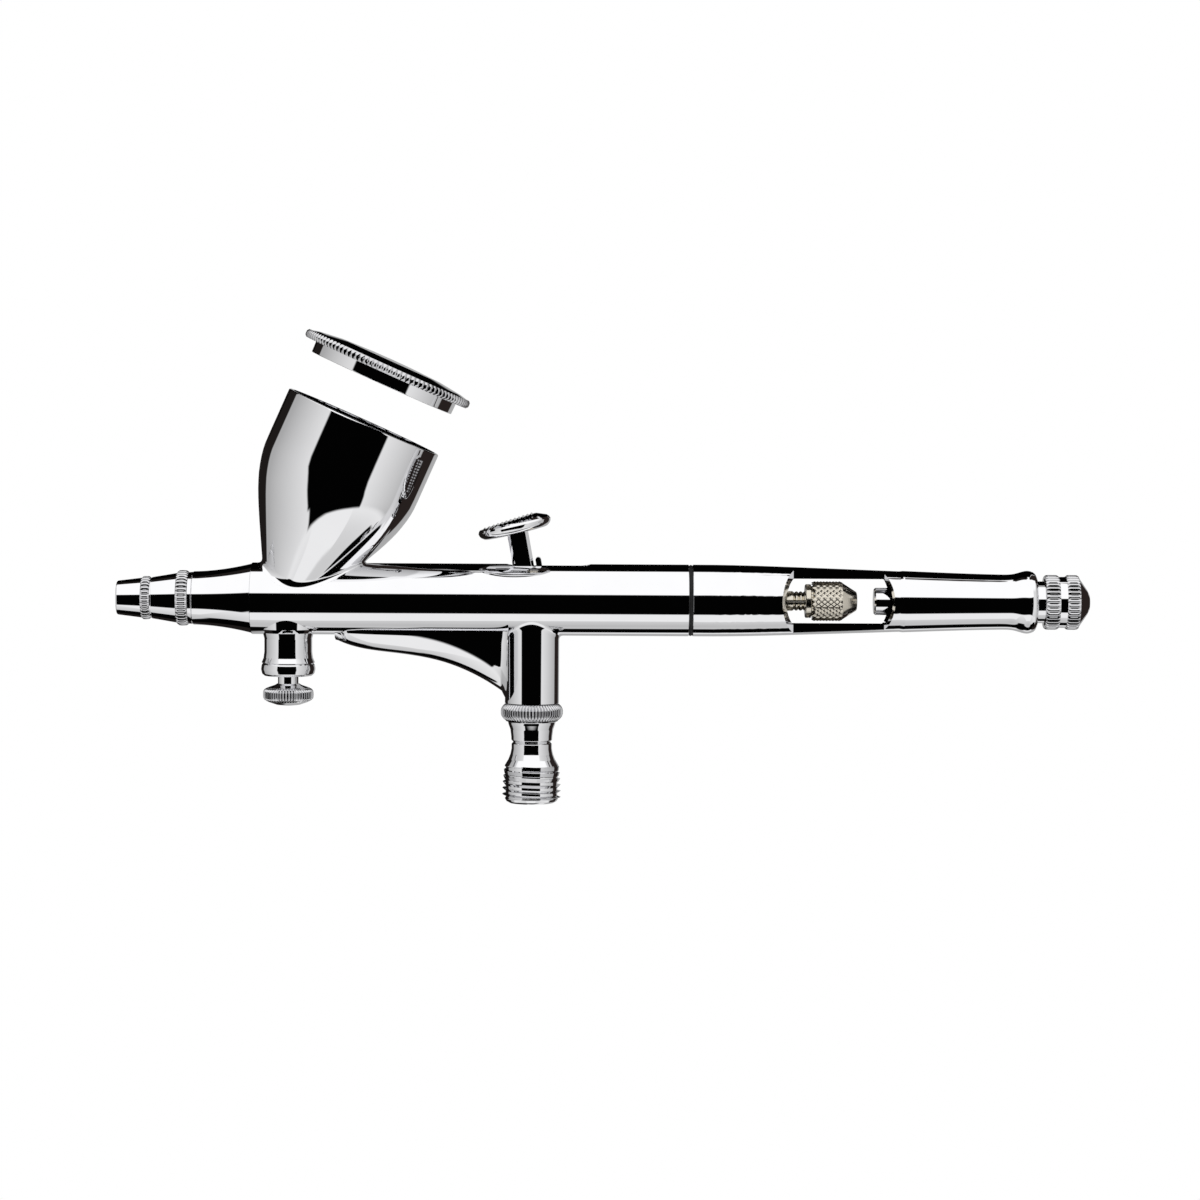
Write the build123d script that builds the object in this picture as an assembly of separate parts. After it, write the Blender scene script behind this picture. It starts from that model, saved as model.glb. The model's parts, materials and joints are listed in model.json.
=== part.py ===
from build123d import *
import math
import os

# Gravity-feed, double-action airbrush gun. Millimetres, +Z up.
# The origin is the centre of the hose thread's lowest crest; the hose thread and the valve tower stand on
# the Z axis, the spray axis lies along X at BARREL_AXIS_Z, the nozzle points to -X and the handle to +X.
# Inside the functions every Z is measured from the spray axis; export() lifts the pieces to their place.

# ---- driving dimensions ------------------------------------------------------------------------------
BARREL_AXIS_Z = 33.2        # spray axis above the hose thread's lowest crest
BARREL_R = 5.93
BARREL_FRONT_X = -46.3      # seam with the spray head
BARREL_REAR_X = 26.2        # seam with the handle
HANDLE_LEN = 57.2
# the handle's outline: (share of its length, share of the barrel's radius), with a bead at the end
HANDLE_TAPER = [(0.147, 0.988), (0.287, 0.95), (0.425, 0.905), (0.563, 0.858), (0.701, 0.808),
                (0.839, 0.764), (0.9, 0.752), (0.935, 0.772), (0.956, 0.83), (0.972, 0.862), (0.988, 0.83),
                (0.999, 0.72)]
SEAM_CHAMFER = 0.4
RUN_CLR = 0.05              # radial running clearance of everything that slides or turns
SEAT_CLR = 0.02             # radial clearance of a screwed or pressed seat

NEEDLE_R = 0.6
NEEDLE_TIP_X = -65.6
NEEDLE_TAIL_X = 53.3
NEEDLE_TAPER_X = -57.0
NEEDLE_TIP_R = 0.08
PAINT_BORE_R = 1.5

# spray head, nozzle and caps
HEAD_FRONT_X = -56.1
HEAD_LIP_R = 4.28
# the head's flare: (share of its length, share of the way from the lip's radius to the barrel's)
HEAD_FLARE = [(0.0, 0.0), (0.2, 0.07), (0.4, 0.19), (0.6, 0.37), (0.8, 0.6), (1.0, 0.89)]
HEAD_SPIGOT_R = 4.2
HEAD_SPIGOT_LEN = 4.0
HEAD_SEAL_T = 0.5
HEAD_AIR_HOLE_R = 0.45
HEAD_AIR_PITCH_R = 2.75
HEAD_AIR_HOLES = 4
HEAD_GROOVE_LEN = 0.8        # ring groove that feeds the air holes
HEAD_NOSE_R = 3.4
HEAD_NOSE_LEN = 2.4
CAP_FRONT_X = -62.9
CAP_NECK_R = 2.6
CAP_NECK_LEN = 0.9
CAP_ORIFICE_R = 0.9
CAP_FRONT_R = 3.46
CAP_WAIST_R = 4.1
CAP_RING_R = 4.58            # knurled ring
CAP_RING_LEN = 1.7
CAP_LIP_LEN = 0.7
CAP_CAVITY_R = 3.0
NOZZLE_SHANK_R = 1.88
NOZZLE_SHANK_LEN = 4.9
NOZZLE_FLANGE_R = 2.2
NOZZLE_FLANGE_T = 1.4
NOZZLE_CONE_R = 1.85
NOZZLE_BORE_R = 1.0
NOZZLE_TIP_PROUD = 0.3
NOZZLE_ORIFICE_R = 0.2
NEEDLE_CAP_FRONT_X = -68.7
NEEDLE_CAP_BORE_R = 2.1
NEEDLE_CAP_FRONT_R = 2.82
NEEDLE_CAP_REAR_R = 3.3
NEEDLE_CAP_RING_R = 3.6
NEEDLE_CAP_RING_LEN = 1.6

# trigger, its pivot and the auxiliary lever
PIVOT_Z = -2.6              # trigger pin below the spray axis
TRIGGER_LEAN = 10.3         # stem leans to the front, degrees
STEM_W = 3.45
STEM_BEVEL = 0.45
STEM_T = 2.8
PAD_R = 6.1
PAD_X = -3.0
PAD_Z = 12.2
PAD_TILT = 13.5
PAD_TOP = 1.3               # crest over the pad's widest line
PAD_BELLY = 1.25
PAD_SLOPE = 4.5             # the grip face slopes this much down to the front, degrees
# the pad's underside, rim and rear bevel: (share of its radius, height)
PAD_OUTLINE = [(0.62, -PAD_BELLY), (0.86, -0.9 * PAD_BELLY), (0.97, -0.45 * PAD_BELLY), (1.0, 0.0),
               (0.98, 0.35), (0.92, 0.7), (0.66, PAD_TOP)]
PRESS_TRAVEL = 2.0
TRIGGER_PIN_R = 0.7
LEVER_TOP_X = 0.875         # middle of the lever's rounded top
LEVER_TOP_Z = 7.07
LEVER_T = 0.9
LEVER_W = 2.7
LEVER_PIN_Z = 2.2
LEVER_PIN_R = 0.4
LEVER_TOE_Z = -4.0
LEVER_BOSS_WALL = 0.35
LEVER_NEEDLE_CLR = 0.15
LEVER_BOSS_BACK = 0.15        # the pin sits this far behind the blade's middle
SLOT_W = 3.9                # slot in the barrel's top for trigger and lever
SLOT_FRONT_X = -4.3
SLOT_REAR_X = 9.7
SLOT_TOP_Z = 8.0

# barrel bores
CHAMBER_R = 3.3
CHAMBER_FRONT_X = -7.0
REAR_BORE_R = 4.0
REAR_BORE_X = 9.0
PACKING_BORE_R = 2.5
PACKING_FRONT_X = -20.0
PACKING_LEN = 3.0
PACKING_SCREW_LEN = 3.6
AIR_CHANNEL_R = 0.6
AIR_CHANNEL_Z = -3.2

# paint cup and lid
CUP_TILT = 24.0
CUP_RIM_X = -27.8
CUP_RIM_Z = 29.4
CUP_R = 13.45
CUP_WALL = 0.7
CUP_RIM_ROUND = 0.42         # share of the wall that the rim's round takes
CUP_STRAIGHT = 10.3         # depth of the cylindrical part
CUP_CONE_DEPTH = 18.2       # where the rounded shoulder runs into the cone
CUP_CONE_R = 0.83 * CUP_R
CUP_CONE_HALF = 28.0        # half angle of the cone, degrees
CUP_DRAIN_R = 1.3            # hole through the cup's foot into the paint bore
LID_R = 14.7
LID_T = 1.3
LID_DOME = 0.55
LID_PLUG_DEPTH = 1.9
LID_PLUG_WALL = 0.8
LID_PLUG_CLR = 0.15
LID_GAP = 8.6               # the lid stands off the rim, taken off
LID_VENT_R = 0.8

# valve tower, valve and hose thread
TOWER_R = 4.48
TOWER_END_Z = -17.1
CLEVIS_BORE_R = 3.0
CLEVIS_FOOT_Z = -7.3
CLEVIS_BORE_END_Z = CLEVIS_FOOT_Z - PRESS_TRAVEL - 0.3
CLEVIS_EAR_Y = 2.45
CLEVIS_T = 2.8
CLEVIS_RISE = 1.3            # the clevis rises this far over the trigger pin
PIN_SEAT = 0.01              # radial play of a pin in the piece that holds it
PISTON_R = 1.7
PISTON_END_Z = -15.2
O_RING_WIRE_R = 0.26
O_RING_Z = CLEVIS_BORE_END_Z - 0.6
O_RING_GROOVE_R = 1.15
O_RING_GROOVE_HALF = 0.3
VALVE_CHAMBER_R = 2.4
VALVE_CHAMBER_TOP_Z = -12.8
HOUSING_SPIGOT_R = 3.6
HOUSING_SPIGOT_LEN = 3.0
HOUSING_KNURL_R = 5.15
HOUSING_KNURL_H = 3.0
HOUSING_COLLAR_R = 3.84
HOUSING_NECK_R = 3.38
HOUSING_END_Z = -23.6
VALVE_SEAT_Z = -19.0
VALVE_SEAT_R = 1.15
VALVE_STEM_R = 0.8
VALVE_HEAD_R = 1.9
VALVE_HEAD_T = 1.2
VALVE_SEAL_T = 0.5
NIPPLE_BORE_R = 2.2
NIPPLE_SPIGOT_R = 2.9
NIPPLE_SPIGOT_LEN = 2.2
NIPPLE_NECK_R = 3.3
NIPPLE_FOOT_R = 4.35
# the neck's flare: (share of its length, share of the way from the neck's radius to the foot's)
NIPPLE_FLARE = [(0.0, 0.0), (0.2, 0.0), (0.54, 0.19), (0.72, 0.48), (1.0, 1.0)]
THREAD_CREST_R = 4.864      # G 1/8 thread
THREAD_PITCH = 0.907
THREAD_DEPTH = 0.55
THREAD_LAND = 0.45
THREAD_TURNS = 6
NIPPLE_END_LEN = 0.5        # chamfered end below the lowest crest
VALVE_SCREW_Z = -27.2
VALVE_SCREW_H = 1.6
VALVE_SCREW_BORE_R = 0.9
BLADE_SLOT_W = 0.7

# micro air control valve under the barrel's front
MAC_X = -40.4
MAC_WAIST_R = 3.95
MAC_FOOT_R = 4.4
MAC_FOOT_Z = -10.6
MAC_FLARE = 0.9             # the waist widens by this where it meets the barrel
MAC_FLARE_H = 1.6
MAC_BORE_R = 2.62
MAC_COLLAR_R = 4.5
MAC_COLLAR_H = 2.2
MAC_PIN_R = 0.9
MAC_SHANK_R = 1.7
MAC_TAIL_R = 1.2
MAC_TAIL_LEN = 2.4
MAC_SEAL_T = 0.6
MAC_KNOB_TOP_Z = -14.1
MAC_KNOB_R = 4.18
MAC_KNOB_H = 3.65
# the knob's outline: (share of its radius, share of its height)
MAC_KNOB_OUTLINE = [(0.45, 0.0), (0.79, 0.12), (1.0, 0.3), (1.0, 0.71), (0.79, 0.89), (0.48, 0.97),
                    (0.19, 1.0)]

# web between barrel and tower, the finger rest
WEB_HALF_T = 2.2
WEB_ROUND = 0.8             # share of the half thickness that the lower edge's round takes
WEB_LOW_EDGE = [(-32.6, -6.6), (-28.6, -8.0), (-22.7, -8.85), (-14.8, -10.25), (-8.8, -12.7), (-3.0, -16.6)]

# needle carriage, spring and spring case
GUIDE_HEAD_X = 3.6
GUIDE_HEAD_LEN = 2.8
GUIDE_TUBE_R = 1.65
GUIDE_THREAD_X = 43.0
GUIDE_THREAD_R = 1.6
GUIDE_THREAD_DEPTH = 0.22
GUIDE_THREAD_PITCH = 0.7
GUIDE_THREAD_CRESTS = 3
GUIDE_END_X = 51.0
GUIDE_SLOT_W = 0.45
GUIDE_SLIT_RUN = 1.2         # the slit runs this far in front of the thread
FORK_FRONT_X = 0.9
FORK_IN_Y = 1.5
FORK_OUT_Y = 2.4
FORK_H = 2.0
NEEDLE_TRAVEL = 2.5
CASE_FRONT_X = 12.0
CASE_REAR_X = 36.0
CASE_SHOULDER_X = BARREL_REAR_X
CASE_THREAD_REAR_X = 34.0
CASE_REAR_R = 4.4
CASE_NOSE_R = 3.9
CASE_BORE_R = 3.1
CASE_END_T = 1.5
SPRING_WIRE_R = 0.25
SPRING_MEAN_R = 2.4
SPRING_TURNS = 14
VALVE_SPRING_MEAN_R = 1.5
VALVE_SPRING_WIRE_R = 0.2
VALVE_SPRING_TURNS = 6

# chuck nut on the carriage's threaded tail
NUT_FRONT_X = 45.1
NUT_COLLAR_R = 2.8
NUT_COLLAR_LEN = 1.2
NUT_GRIP_R = 3.3
NUT_GRIP_LEN = 4.6
NUT_CONE_R = 3.1
NUT_END_R = 1.5
NUT_END_X = 53.7

# handle with its window, and the preset screw in its tail
HANDLE_BORE_R = 4.43
HANDLE_REAR_BORE_R = 2.9
WINDOW_X0 = 43.1
WINDOW_X1 = 58.1
WINDOW_FLAT_Y = 2.3
WINDOW_SLANT = 30.0
PRESET_CLR = 0.3            # rod face behind the nut when the trigger is fully back
PRESET_ROD_R = 2.25
PRESET_THREAD_X = 70.0
PRESET_NECK_R = 3.46
PRESET_NECK_LEN = 1.2
PRESET_TAIL_R = 1.55
PRESET_TAIL_LEN = 4.6
KNOB_R = 4.53
KNOB_GRIP_LEN = 5.7
KNOB_GROOVE_R = 4.28
KNOB_GROOVE_W = 1.2
KNOB_CONE_R = 4.1
KNOB_TIP_R = 1.9
KNOB_FLUTES = 36
KNOB_FLUTE_R = 0.22
KNOB_TIP_LEN = 1.9

SPRAY = Axis.X
HANDLE_END_X = BARREL_REAR_X + HANDLE_LEN


# ---- small helpers -----------------------------------------------------------------------------------
def turned_x(points):
    """A solid turned about the spray axis from (x, r) points; the outline closes along the axis."""
    line = [(points[0][0], 0.0)] + list(points) + [(points[-1][0], 0.0)]
    return revolve(Plane.XZ * make_face(Polyline(*line, close=True)), SPRAY)


def smooth_x(before, curve, after):
    """A solid turned about the spray axis whose outline is a smooth curve between straight pieces."""
    start, end = before[0], (after or curve)[-1]
    edges = [Spline(*curve), Polyline(curve[-1], *after, (end[0], 0.0), (start[0], 0.0), *before, curve[0])]
    return revolve(Plane.XZ * make_face(edges), SPRAY)


def turned_z(points, x=0.0):
    """A solid turned about a vertical axis at x from (r, z) points; the outline closes along the axis."""
    line = [(0.0, points[0][1])] + list(points) + [(0.0, points[-1][1])]
    return Pos(x, 0, 0) * revolve(Plane.XZ * make_face(Polyline(*line, close=True)), Axis.Z)


def rod_x(r, x0, x1, y=0.0, z=0.0):
    """A cylinder along X between two stations."""
    return Pos((x0 + x1) / 2, y, z) * Rot(0, 90, 0) * Cylinder(r, abs(x1 - x0))


def rod_z(r, z0, z1, x=0.0):
    """A cylinder along Z between two heights."""
    return Pos(x, 0, (z0 + z1) / 2) * Cylinder(r, abs(z1 - z0))


def rod_y(r, half, x, z):
    """A cylinder along Y, centred on the middle plane."""
    return Pos(x, 0, z) * Rot(90, 0, 0) * Cylinder(r, 2 * half)


def ring_z(r, wire, z):
    """An O-ring lying flat at height z."""
    return Pos(0, 0, z) * Torus(r, wire)


def coil(mean_r, wire, length, turns):
    """A round-wire spring along +Z from 0 to length over all."""
    rise = length - 2 * wire
    path = Helix(pitch=rise / turns, height=rise, radius=mean_r)
    start = Plane(origin=path @ 0, z_dir=path % 0)
    return Pos(0, 0, wire) * sweep(start * Circle(wire), path=path, is_frenet=True)


# ---- barrel ------------------------------------------------------------------------------------------
def web():
    """The finger rest: a flat rib under the barrel whose lower edge is fully rounded."""
    low = Spline(*WEB_LOW_EDGE)
    x0, x1 = WEB_LOW_EDGE[0][0], WEB_LOW_EDGE[-1][0]
    side = make_face(low + Polyline((x1, WEB_LOW_EDGE[-1][1]), (x1, 0), (x0, 0), WEB_LOW_EDGE[0]))
    rib = extrude(Plane.XZ * side, WEB_HALF_T, both=True)
    lower = rib.edges().filter_by(GeomType.BSPLINE)
    return fillet(lower, WEB_HALF_T * WEB_ROUND)


def mac_boss():
    """The waisted boss that carries the air control valve."""
    flare_z = -BARREL_R + MAC_FLARE_H - 0.7
    return turned_z([(MAC_FOOT_R, MAC_FOOT_Z), (MAC_WAIST_R + 0.12, MAC_FOOT_Z + 0.8),
                     (MAC_WAIST_R, MAC_FOOT_Z + 1.8), (MAC_WAIST_R, flare_z - MAC_FLARE_H),
                     (MAC_WAIST_R + 0.25, flare_z - 0.4 * MAC_FLARE_H), (MAC_WAIST_R + MAC_FLARE, flare_z),
                     (MAC_WAIST_R + MAC_FLARE, AIR_CHANNEL_Z)], MAC_X)


def trigger_slot():
    """The opening for trigger and lever: a slot with a round rear end."""
    length = SLOT_REAR_X - SLOT_FRONT_X
    slot = Pos((SLOT_FRONT_X + SLOT_REAR_X) / 2, 0, SLOT_TOP_Z / 2) * Box(length, SLOT_W, SLOT_TOP_Z)
    top = slot.edges().filter_by(Axis.Z)
    return fillet(top, SLOT_W / 2 - 0.05)


def cup_axis_place():
    """The cup's own frame: origin at the rim's centre, +Z up along the cup's axis."""
    return Pos(CUP_RIM_X, 0, CUP_RIM_Z) * Rot(0, CUP_TILT, 0)


def barrel():
    """The main body with tower, finger rest and air valve boss, bored for everything inside."""
    c = SEAM_CHAMFER
    rear = BARREL_REAR_X
    body = turned_x([(BARREL_FRONT_X, BARREL_R), (rear - c, BARREL_R), (rear, BARREL_R - c)])
    body += rod_z(TOWER_R, 0, TOWER_END_Z)
    body += mac_boss()
    body += web()
    # spray axis: head socket, paint bore, packing bore, trigger chamber, rear bore
    socket_floor = BARREL_FRONT_X + HEAD_SPIGOT_LEN + HEAD_SEAL_T
    body -= rod_x(HEAD_SPIGOT_R + SEAT_CLR, BARREL_FRONT_X, socket_floor)
    body -= rod_x(PAINT_BORE_R, BARREL_FRONT_X, PACKING_FRONT_X)
    body -= rod_x(PACKING_BORE_R, PACKING_FRONT_X, 0)
    body -= rod_x(CHAMBER_R, CHAMBER_FRONT_X, BARREL_REAR_X)
    body -= rod_x(REAR_BORE_R, REAR_BORE_X, BARREL_REAR_X)
    body -= trigger_slot()
    lever_pocket_x = lever_x(LEVER_TOE_Z)
    body -= Pos(lever_pocket_x, 0, LEVER_TOE_Z / 2 - 0.3) * Box(3.4, LEVER_W + 0.6, -LEVER_TOE_Z + 0.6)
    # valve bores in the tower
    body -= rod_z(CLEVIS_BORE_R, 0, CLEVIS_BORE_END_Z)
    body -= rod_z(PISTON_R + RUN_CLR, 0, VALVE_CHAMBER_TOP_Z)
    body -= rod_z(VALVE_CHAMBER_R, VALVE_CHAMBER_TOP_Z, TOWER_END_Z)
    body -= rod_z(HOUSING_SPIGOT_R + SEAT_CLR, TOWER_END_Z + HOUSING_SPIGOT_LEN, TOWER_END_Z)
    # air channel: up from the valve chamber, then forward to the head
    elbow = Vector(-11.0, 0, AIR_CHANNEL_Z)
    foot = Vector(-0.8, 0, VALVE_CHAMBER_TOP_Z - 0.7)
    run = elbow - foot
    drill = Plane(origin=foot, z_dir=run) * Pos(0, 0, run.length / 2)
    body -= drill * Cylinder(AIR_CHANNEL_R, run.length)
    body -= rod_x(AIR_CHANNEL_R, BARREL_FRONT_X, elbow.X, z=AIR_CHANNEL_Z)
    # air control valve bores
    body -= rod_z(MAC_BORE_R, MAC_FOOT_Z, MAC_FOOT_Z + MAC_COLLAR_H + MAC_SEAL_T + 0.8, MAC_X)
    body -= rod_z(MAC_PIN_R + 0.1, MAC_FOOT_Z, AIR_CHANNEL_Z, MAC_X)
    # paint passage from the cup
    body -= cup_axis_place() * Pos(0, 0, -CUP_RIM_Z / 2 - 1.5) * Cylinder(CUP_DRAIN_R, CUP_RIM_Z)
    return body


# ---- paint cup and lid -------------------------------------------------------------------------------
def cup_outline(inset):
    """Half outline of the cup in its own frame as a closed face, moved inwards by inset."""
    reach = CUP_RIM_Z / math.cos(math.radians(CUP_TILT)) + BARREL_R
    r_wall = CUP_R - inset
    slope = math.tan(math.radians(CUP_CONE_HALF))
    r_cone = CUP_CONE_R - inset
    depth_end = CUP_CONE_DEPTH + (r_cone - CUP_DRAIN_R) / slope
    end = (max(CUP_DRAIN_R, r_cone - slope * (reach - CUP_CONE_DEPTH)), -min(reach, depth_end))
    wall = Line((r_wall, 0), (r_wall, -CUP_STRAIGHT))
    cone_dir = (-slope, -1)
    shoulder = Spline((r_wall, -CUP_STRAIGHT), (r_cone, -CUP_CONE_DEPTH), tangents=[(0, -1), cone_dir])
    cone = Line((r_cone, -CUP_CONE_DEPTH), end)
    rest = Polyline(end, (0, end[1]), (0, 0), (r_wall, 0))
    return make_face(wall + shoulder + cone + rest)


def paint_cup():
    """The tilted cup: cylinder, rounded shoulder, cone; its foot is cut to the barrel's round."""
    outer = revolve(Plane.XZ * cup_outline(0), Axis.Z)
    inner = revolve(Plane.XZ * cup_outline(CUP_WALL), Axis.Z)
    shell = outer - inner
    rim = shell.edges().filter_by(GeomType.CIRCLE).group_by(Axis.Z)[-1]
    shell = fillet(rim, CUP_WALL * CUP_RIM_ROUND)
    shell = cup_axis_place() * shell
    shell -= rod_x(BARREL_R, BARREL_FRONT_X - 20, BARREL_REAR_X)
    return max(shell.solids(), key=lambda s: s.volume)


def cup_lid():
    """The knurl-edged lid with its plug skirt, coaxial with the cup and standing off it."""
    disc = turned_z([(LID_R - 0.25, 0), (LID_R, 0.25), (LID_R, LID_T - 0.35), (LID_R - 0.35, LID_T),
                     (LID_R * 0.6, LID_T + LID_DOME * 0.75), (LID_R * 0.25, LID_T + LID_DOME)])
    plug_r = CUP_R - CUP_WALL - LID_PLUG_CLR
    skirt = rod_z(plug_r, -LID_PLUG_DEPTH, 0) - rod_z(plug_r - LID_PLUG_WALL, -LID_PLUG_DEPTH, 0)
    skirt = chamfer(skirt.edges().filter_by(GeomType.CIRCLE).group_by(Axis.Z)[0], 0.2)
    lid = disc + skirt - rod_z(LID_VENT_R, -1, 3)
    return cup_axis_place() * Pos(0, 0, LID_GAP) * lid


# ---- spray head --------------------------------------------------------------------------------------
def spray_head():
    """The flared head: spigot into the barrel, bore for the paint, air holes, nose for the cap."""
    nose_x = HEAD_FRONT_X - HEAD_NOSE_LEN
    length = BARREL_FRONT_X - HEAD_FRONT_X
    flare = [(HEAD_FRONT_X + u * length, HEAD_LIP_R + v * (BARREL_R - HEAD_LIP_R)) for u, v in HEAD_FLARE]
    head = smooth_x([(nose_x, HEAD_NOSE_R), (HEAD_FRONT_X, HEAD_NOSE_R)], flare,
                    [(BARREL_FRONT_X, HEAD_SPIGOT_R), (BARREL_FRONT_X + HEAD_SPIGOT_LEN, HEAD_SPIGOT_R)])
    rear = BARREL_FRONT_X + HEAD_SPIGOT_LEN
    head -= rod_x(PAINT_BORE_R, nose_x, rear)
    head -= rod_x(NOZZLE_SHANK_R + SEAT_CLR, nose_x, nose_x + NOZZLE_SHANK_LEN)
    front = rear - HEAD_GROOVE_LEN
    head -= rod_x(HEAD_AIR_PITCH_R + 1.0, front, rear) - rod_x(HEAD_AIR_PITCH_R - 0.55, front, rear)
    for spot in PolarLocations(HEAD_AIR_PITCH_R, HEAD_AIR_HOLES, start_angle=45):
        hole = Plane.YZ * spot * Cylinder(HEAD_AIR_HOLE_R, 60)
        head -= hole
    return head


def head_seal():
    """The ring that seals the paint bore between head and barrel."""
    x0 = BARREL_FRONT_X + HEAD_SPIGOT_LEN
    ring = rod_x(HEAD_AIR_PITCH_R - 0.6, x0, x0 + HEAD_SEAL_T)
    return ring - rod_x(PAINT_BORE_R + 0.05, x0, x0 + HEAD_SEAL_T)


def nozzle_seat_x():
    return HEAD_FRONT_X - HEAD_NOSE_LEN


def nozzle():
    """The fluid nozzle: screwed shank, flange and a fine cone with the orifice."""
    seat = nozzle_seat_x()
    tip = CAP_FRONT_X - CAP_NECK_LEN - NOZZLE_TIP_PROUD
    flange_x = seat - NOZZLE_FLANGE_T
    body = turned_x([(tip, NOZZLE_ORIFICE_R + 0.25), (flange_x, NOZZLE_CONE_R), (flange_x, NOZZLE_FLANGE_R),
                     (seat, NOZZLE_FLANGE_R), (seat, NOZZLE_SHANK_R),
                     (seat + NOZZLE_SHANK_LEN - 0.2, NOZZLE_SHANK_R)])
    bore = turned_x([(tip - 0.1, NOZZLE_ORIFICE_R), (tip + 0.4, NOZZLE_ORIFICE_R + 0.05),
                     (seat, NOZZLE_BORE_R), (seat + NOZZLE_SHANK_LEN, NOZZLE_BORE_R)])
    return body - bore


def nozzle_cap():
    """The air cap that screws over the head's nose and centres the air on the nozzle."""
    neck = CAP_FRONT_X - CAP_NECK_LEN
    ring1 = HEAD_FRONT_X - CAP_LIP_LEN
    ring0 = ring1 - CAP_RING_LEN
    seat = HEAD_FRONT_X - HEAD_NOSE_LEN
    thread_r = HEAD_NOSE_R + SEAT_CLR
    body = turned_x([(neck, CAP_NECK_R), (CAP_FRONT_X, CAP_NECK_R), (CAP_FRONT_X, CAP_FRONT_R),
                     (ring0 - 0.8, CAP_WAIST_R), (ring0 - 0.2, CAP_WAIST_R), (ring0, CAP_RING_R),
                     (ring1, CAP_RING_R), (ring1 + 0.2, HEAD_LIP_R), (HEAD_FRONT_X, HEAD_LIP_R)])
    cavity = turned_x([(neck, CAP_ORIFICE_R), (CAP_FRONT_X, CAP_ORIFICE_R), (seat - 2.3, CAP_CAVITY_R),
                       (seat, CAP_CAVITY_R), (seat, thread_r), (HEAD_FRONT_X, thread_r)])
    return body - cavity


def needle_cap():
    """The guard over the needle's tip, screwed on the air cap's neck."""
    rear = CAP_FRONT_X
    ring0 = rear - NEEDLE_CAP_RING_LEN
    front, lip_r, ring_r = NEEDLE_CAP_FRONT_X, NEEDLE_CAP_FRONT_R, NEEDLE_CAP_RING_R
    body = turned_x([(front, lip_r - 0.2), (front + 0.2, lip_r), (ring0 - 0.1, NEEDLE_CAP_REAR_R),
                     (ring0, ring_r), (rear - 0.1, ring_r), (rear, ring_r - 0.1)])
    bore = turned_x([(NEEDLE_CAP_FRONT_X, NEEDLE_CAP_BORE_R), (rear - CAP_NECK_LEN, NEEDLE_CAP_BORE_R),
                     (rear - CAP_NECK_LEN, CAP_NECK_R + SEAT_CLR), (rear, CAP_NECK_R + SEAT_CLR)])
    return body - bore


# ---- needle and packing ------------------------------------------------------------------------------
def needle():
    return turned_x([(NEEDLE_TIP_X, NEEDLE_TIP_R), (NEEDLE_TAPER_X, NEEDLE_R), (NEEDLE_TAIL_X, NEEDLE_R)])


def needle_packing():
    x1 = PACKING_FRONT_X + PACKING_LEN
    ring = rod_x(PACKING_BORE_R - SEAT_CLR, PACKING_FRONT_X, x1)
    return ring - rod_x(NEEDLE_R + RUN_CLR, PACKING_FRONT_X, x1)


def packing_screw():
    """The hollow screw, slotted for a blade, that squeezes the packing."""
    x0 = PACKING_FRONT_X + PACKING_LEN
    x1 = x0 + PACKING_SCREW_LEN
    screw = rod_x(PACKING_BORE_R - SEAT_CLR, x0, x1) - rod_x(NEEDLE_R + 0.15, x0, x1)
    return screw - Pos(x1, 0, 0) * Box(PACKING_SCREW_LEN / 2, 4 * PACKING_BORE_R, BLADE_SLOT_W)


# ---- trigger group -----------------------------------------------------------------------------------
def trigger_stem_place():
    """Frame on the trigger pin with +Z along the stem."""
    return Pos(0, 0, PIVOT_Z) * Rot(0, -TRIGGER_LEAN, 0)


def trigger_pad():
    """The round finger pad: sloping grip face, rear bevel, full underside, tilted down to the front."""
    pad = turned_z([(share * PAD_R, z) for share, z in PAD_OUTLINE])
    grip_face = Pos(0.6 * PAD_R, 0, PAD_TOP) * Rot(0, -PAD_SLOPE, 0) * Pos(-2 * PAD_R, 0, PAD_R)
    pad -= grip_face * Box(4 * PAD_R, 4 * PAD_R, 2 * PAD_R)
    return Pos(PAD_X, 0, PAD_Z) * Rot(0, -PAD_TILT, 0) * pad


def trigger():
    """Stem with a pin eye and a needle slot, and the pad on top."""
    reach = PAD_Z - PIVOT_Z
    blade = Pos(0, 0, reach / 2) * Box(STEM_W, STEM_T, reach)
    blade = chamfer(blade.edges().filter_by(Axis.Z), STEM_BEVEL)
    blank = blade + rod_y(STEM_W / 2, STEM_T / 2, 0, 0)
    blank -= rod_y(TRIGGER_PIN_R + RUN_CLR, STEM_T, 0, 0)
    slot_low = -PIVOT_Z - NEEDLE_R - 0.8
    slot_high = -PIVOT_Z + PRESS_TRAVEL + NEEDLE_R + 0.8
    blank -= Pos(0, 0, (slot_low + slot_high) / 2) * Box(2 * STEM_W, 2 * NEEDLE_R + 0.4, slot_high - slot_low)
    return trigger_stem_place() * blank + trigger_pad()


def trigger_pin():
    return rod_y(TRIGGER_PIN_R, CLEVIS_EAR_Y - RUN_CLR, 0, PIVOT_Z)


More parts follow.
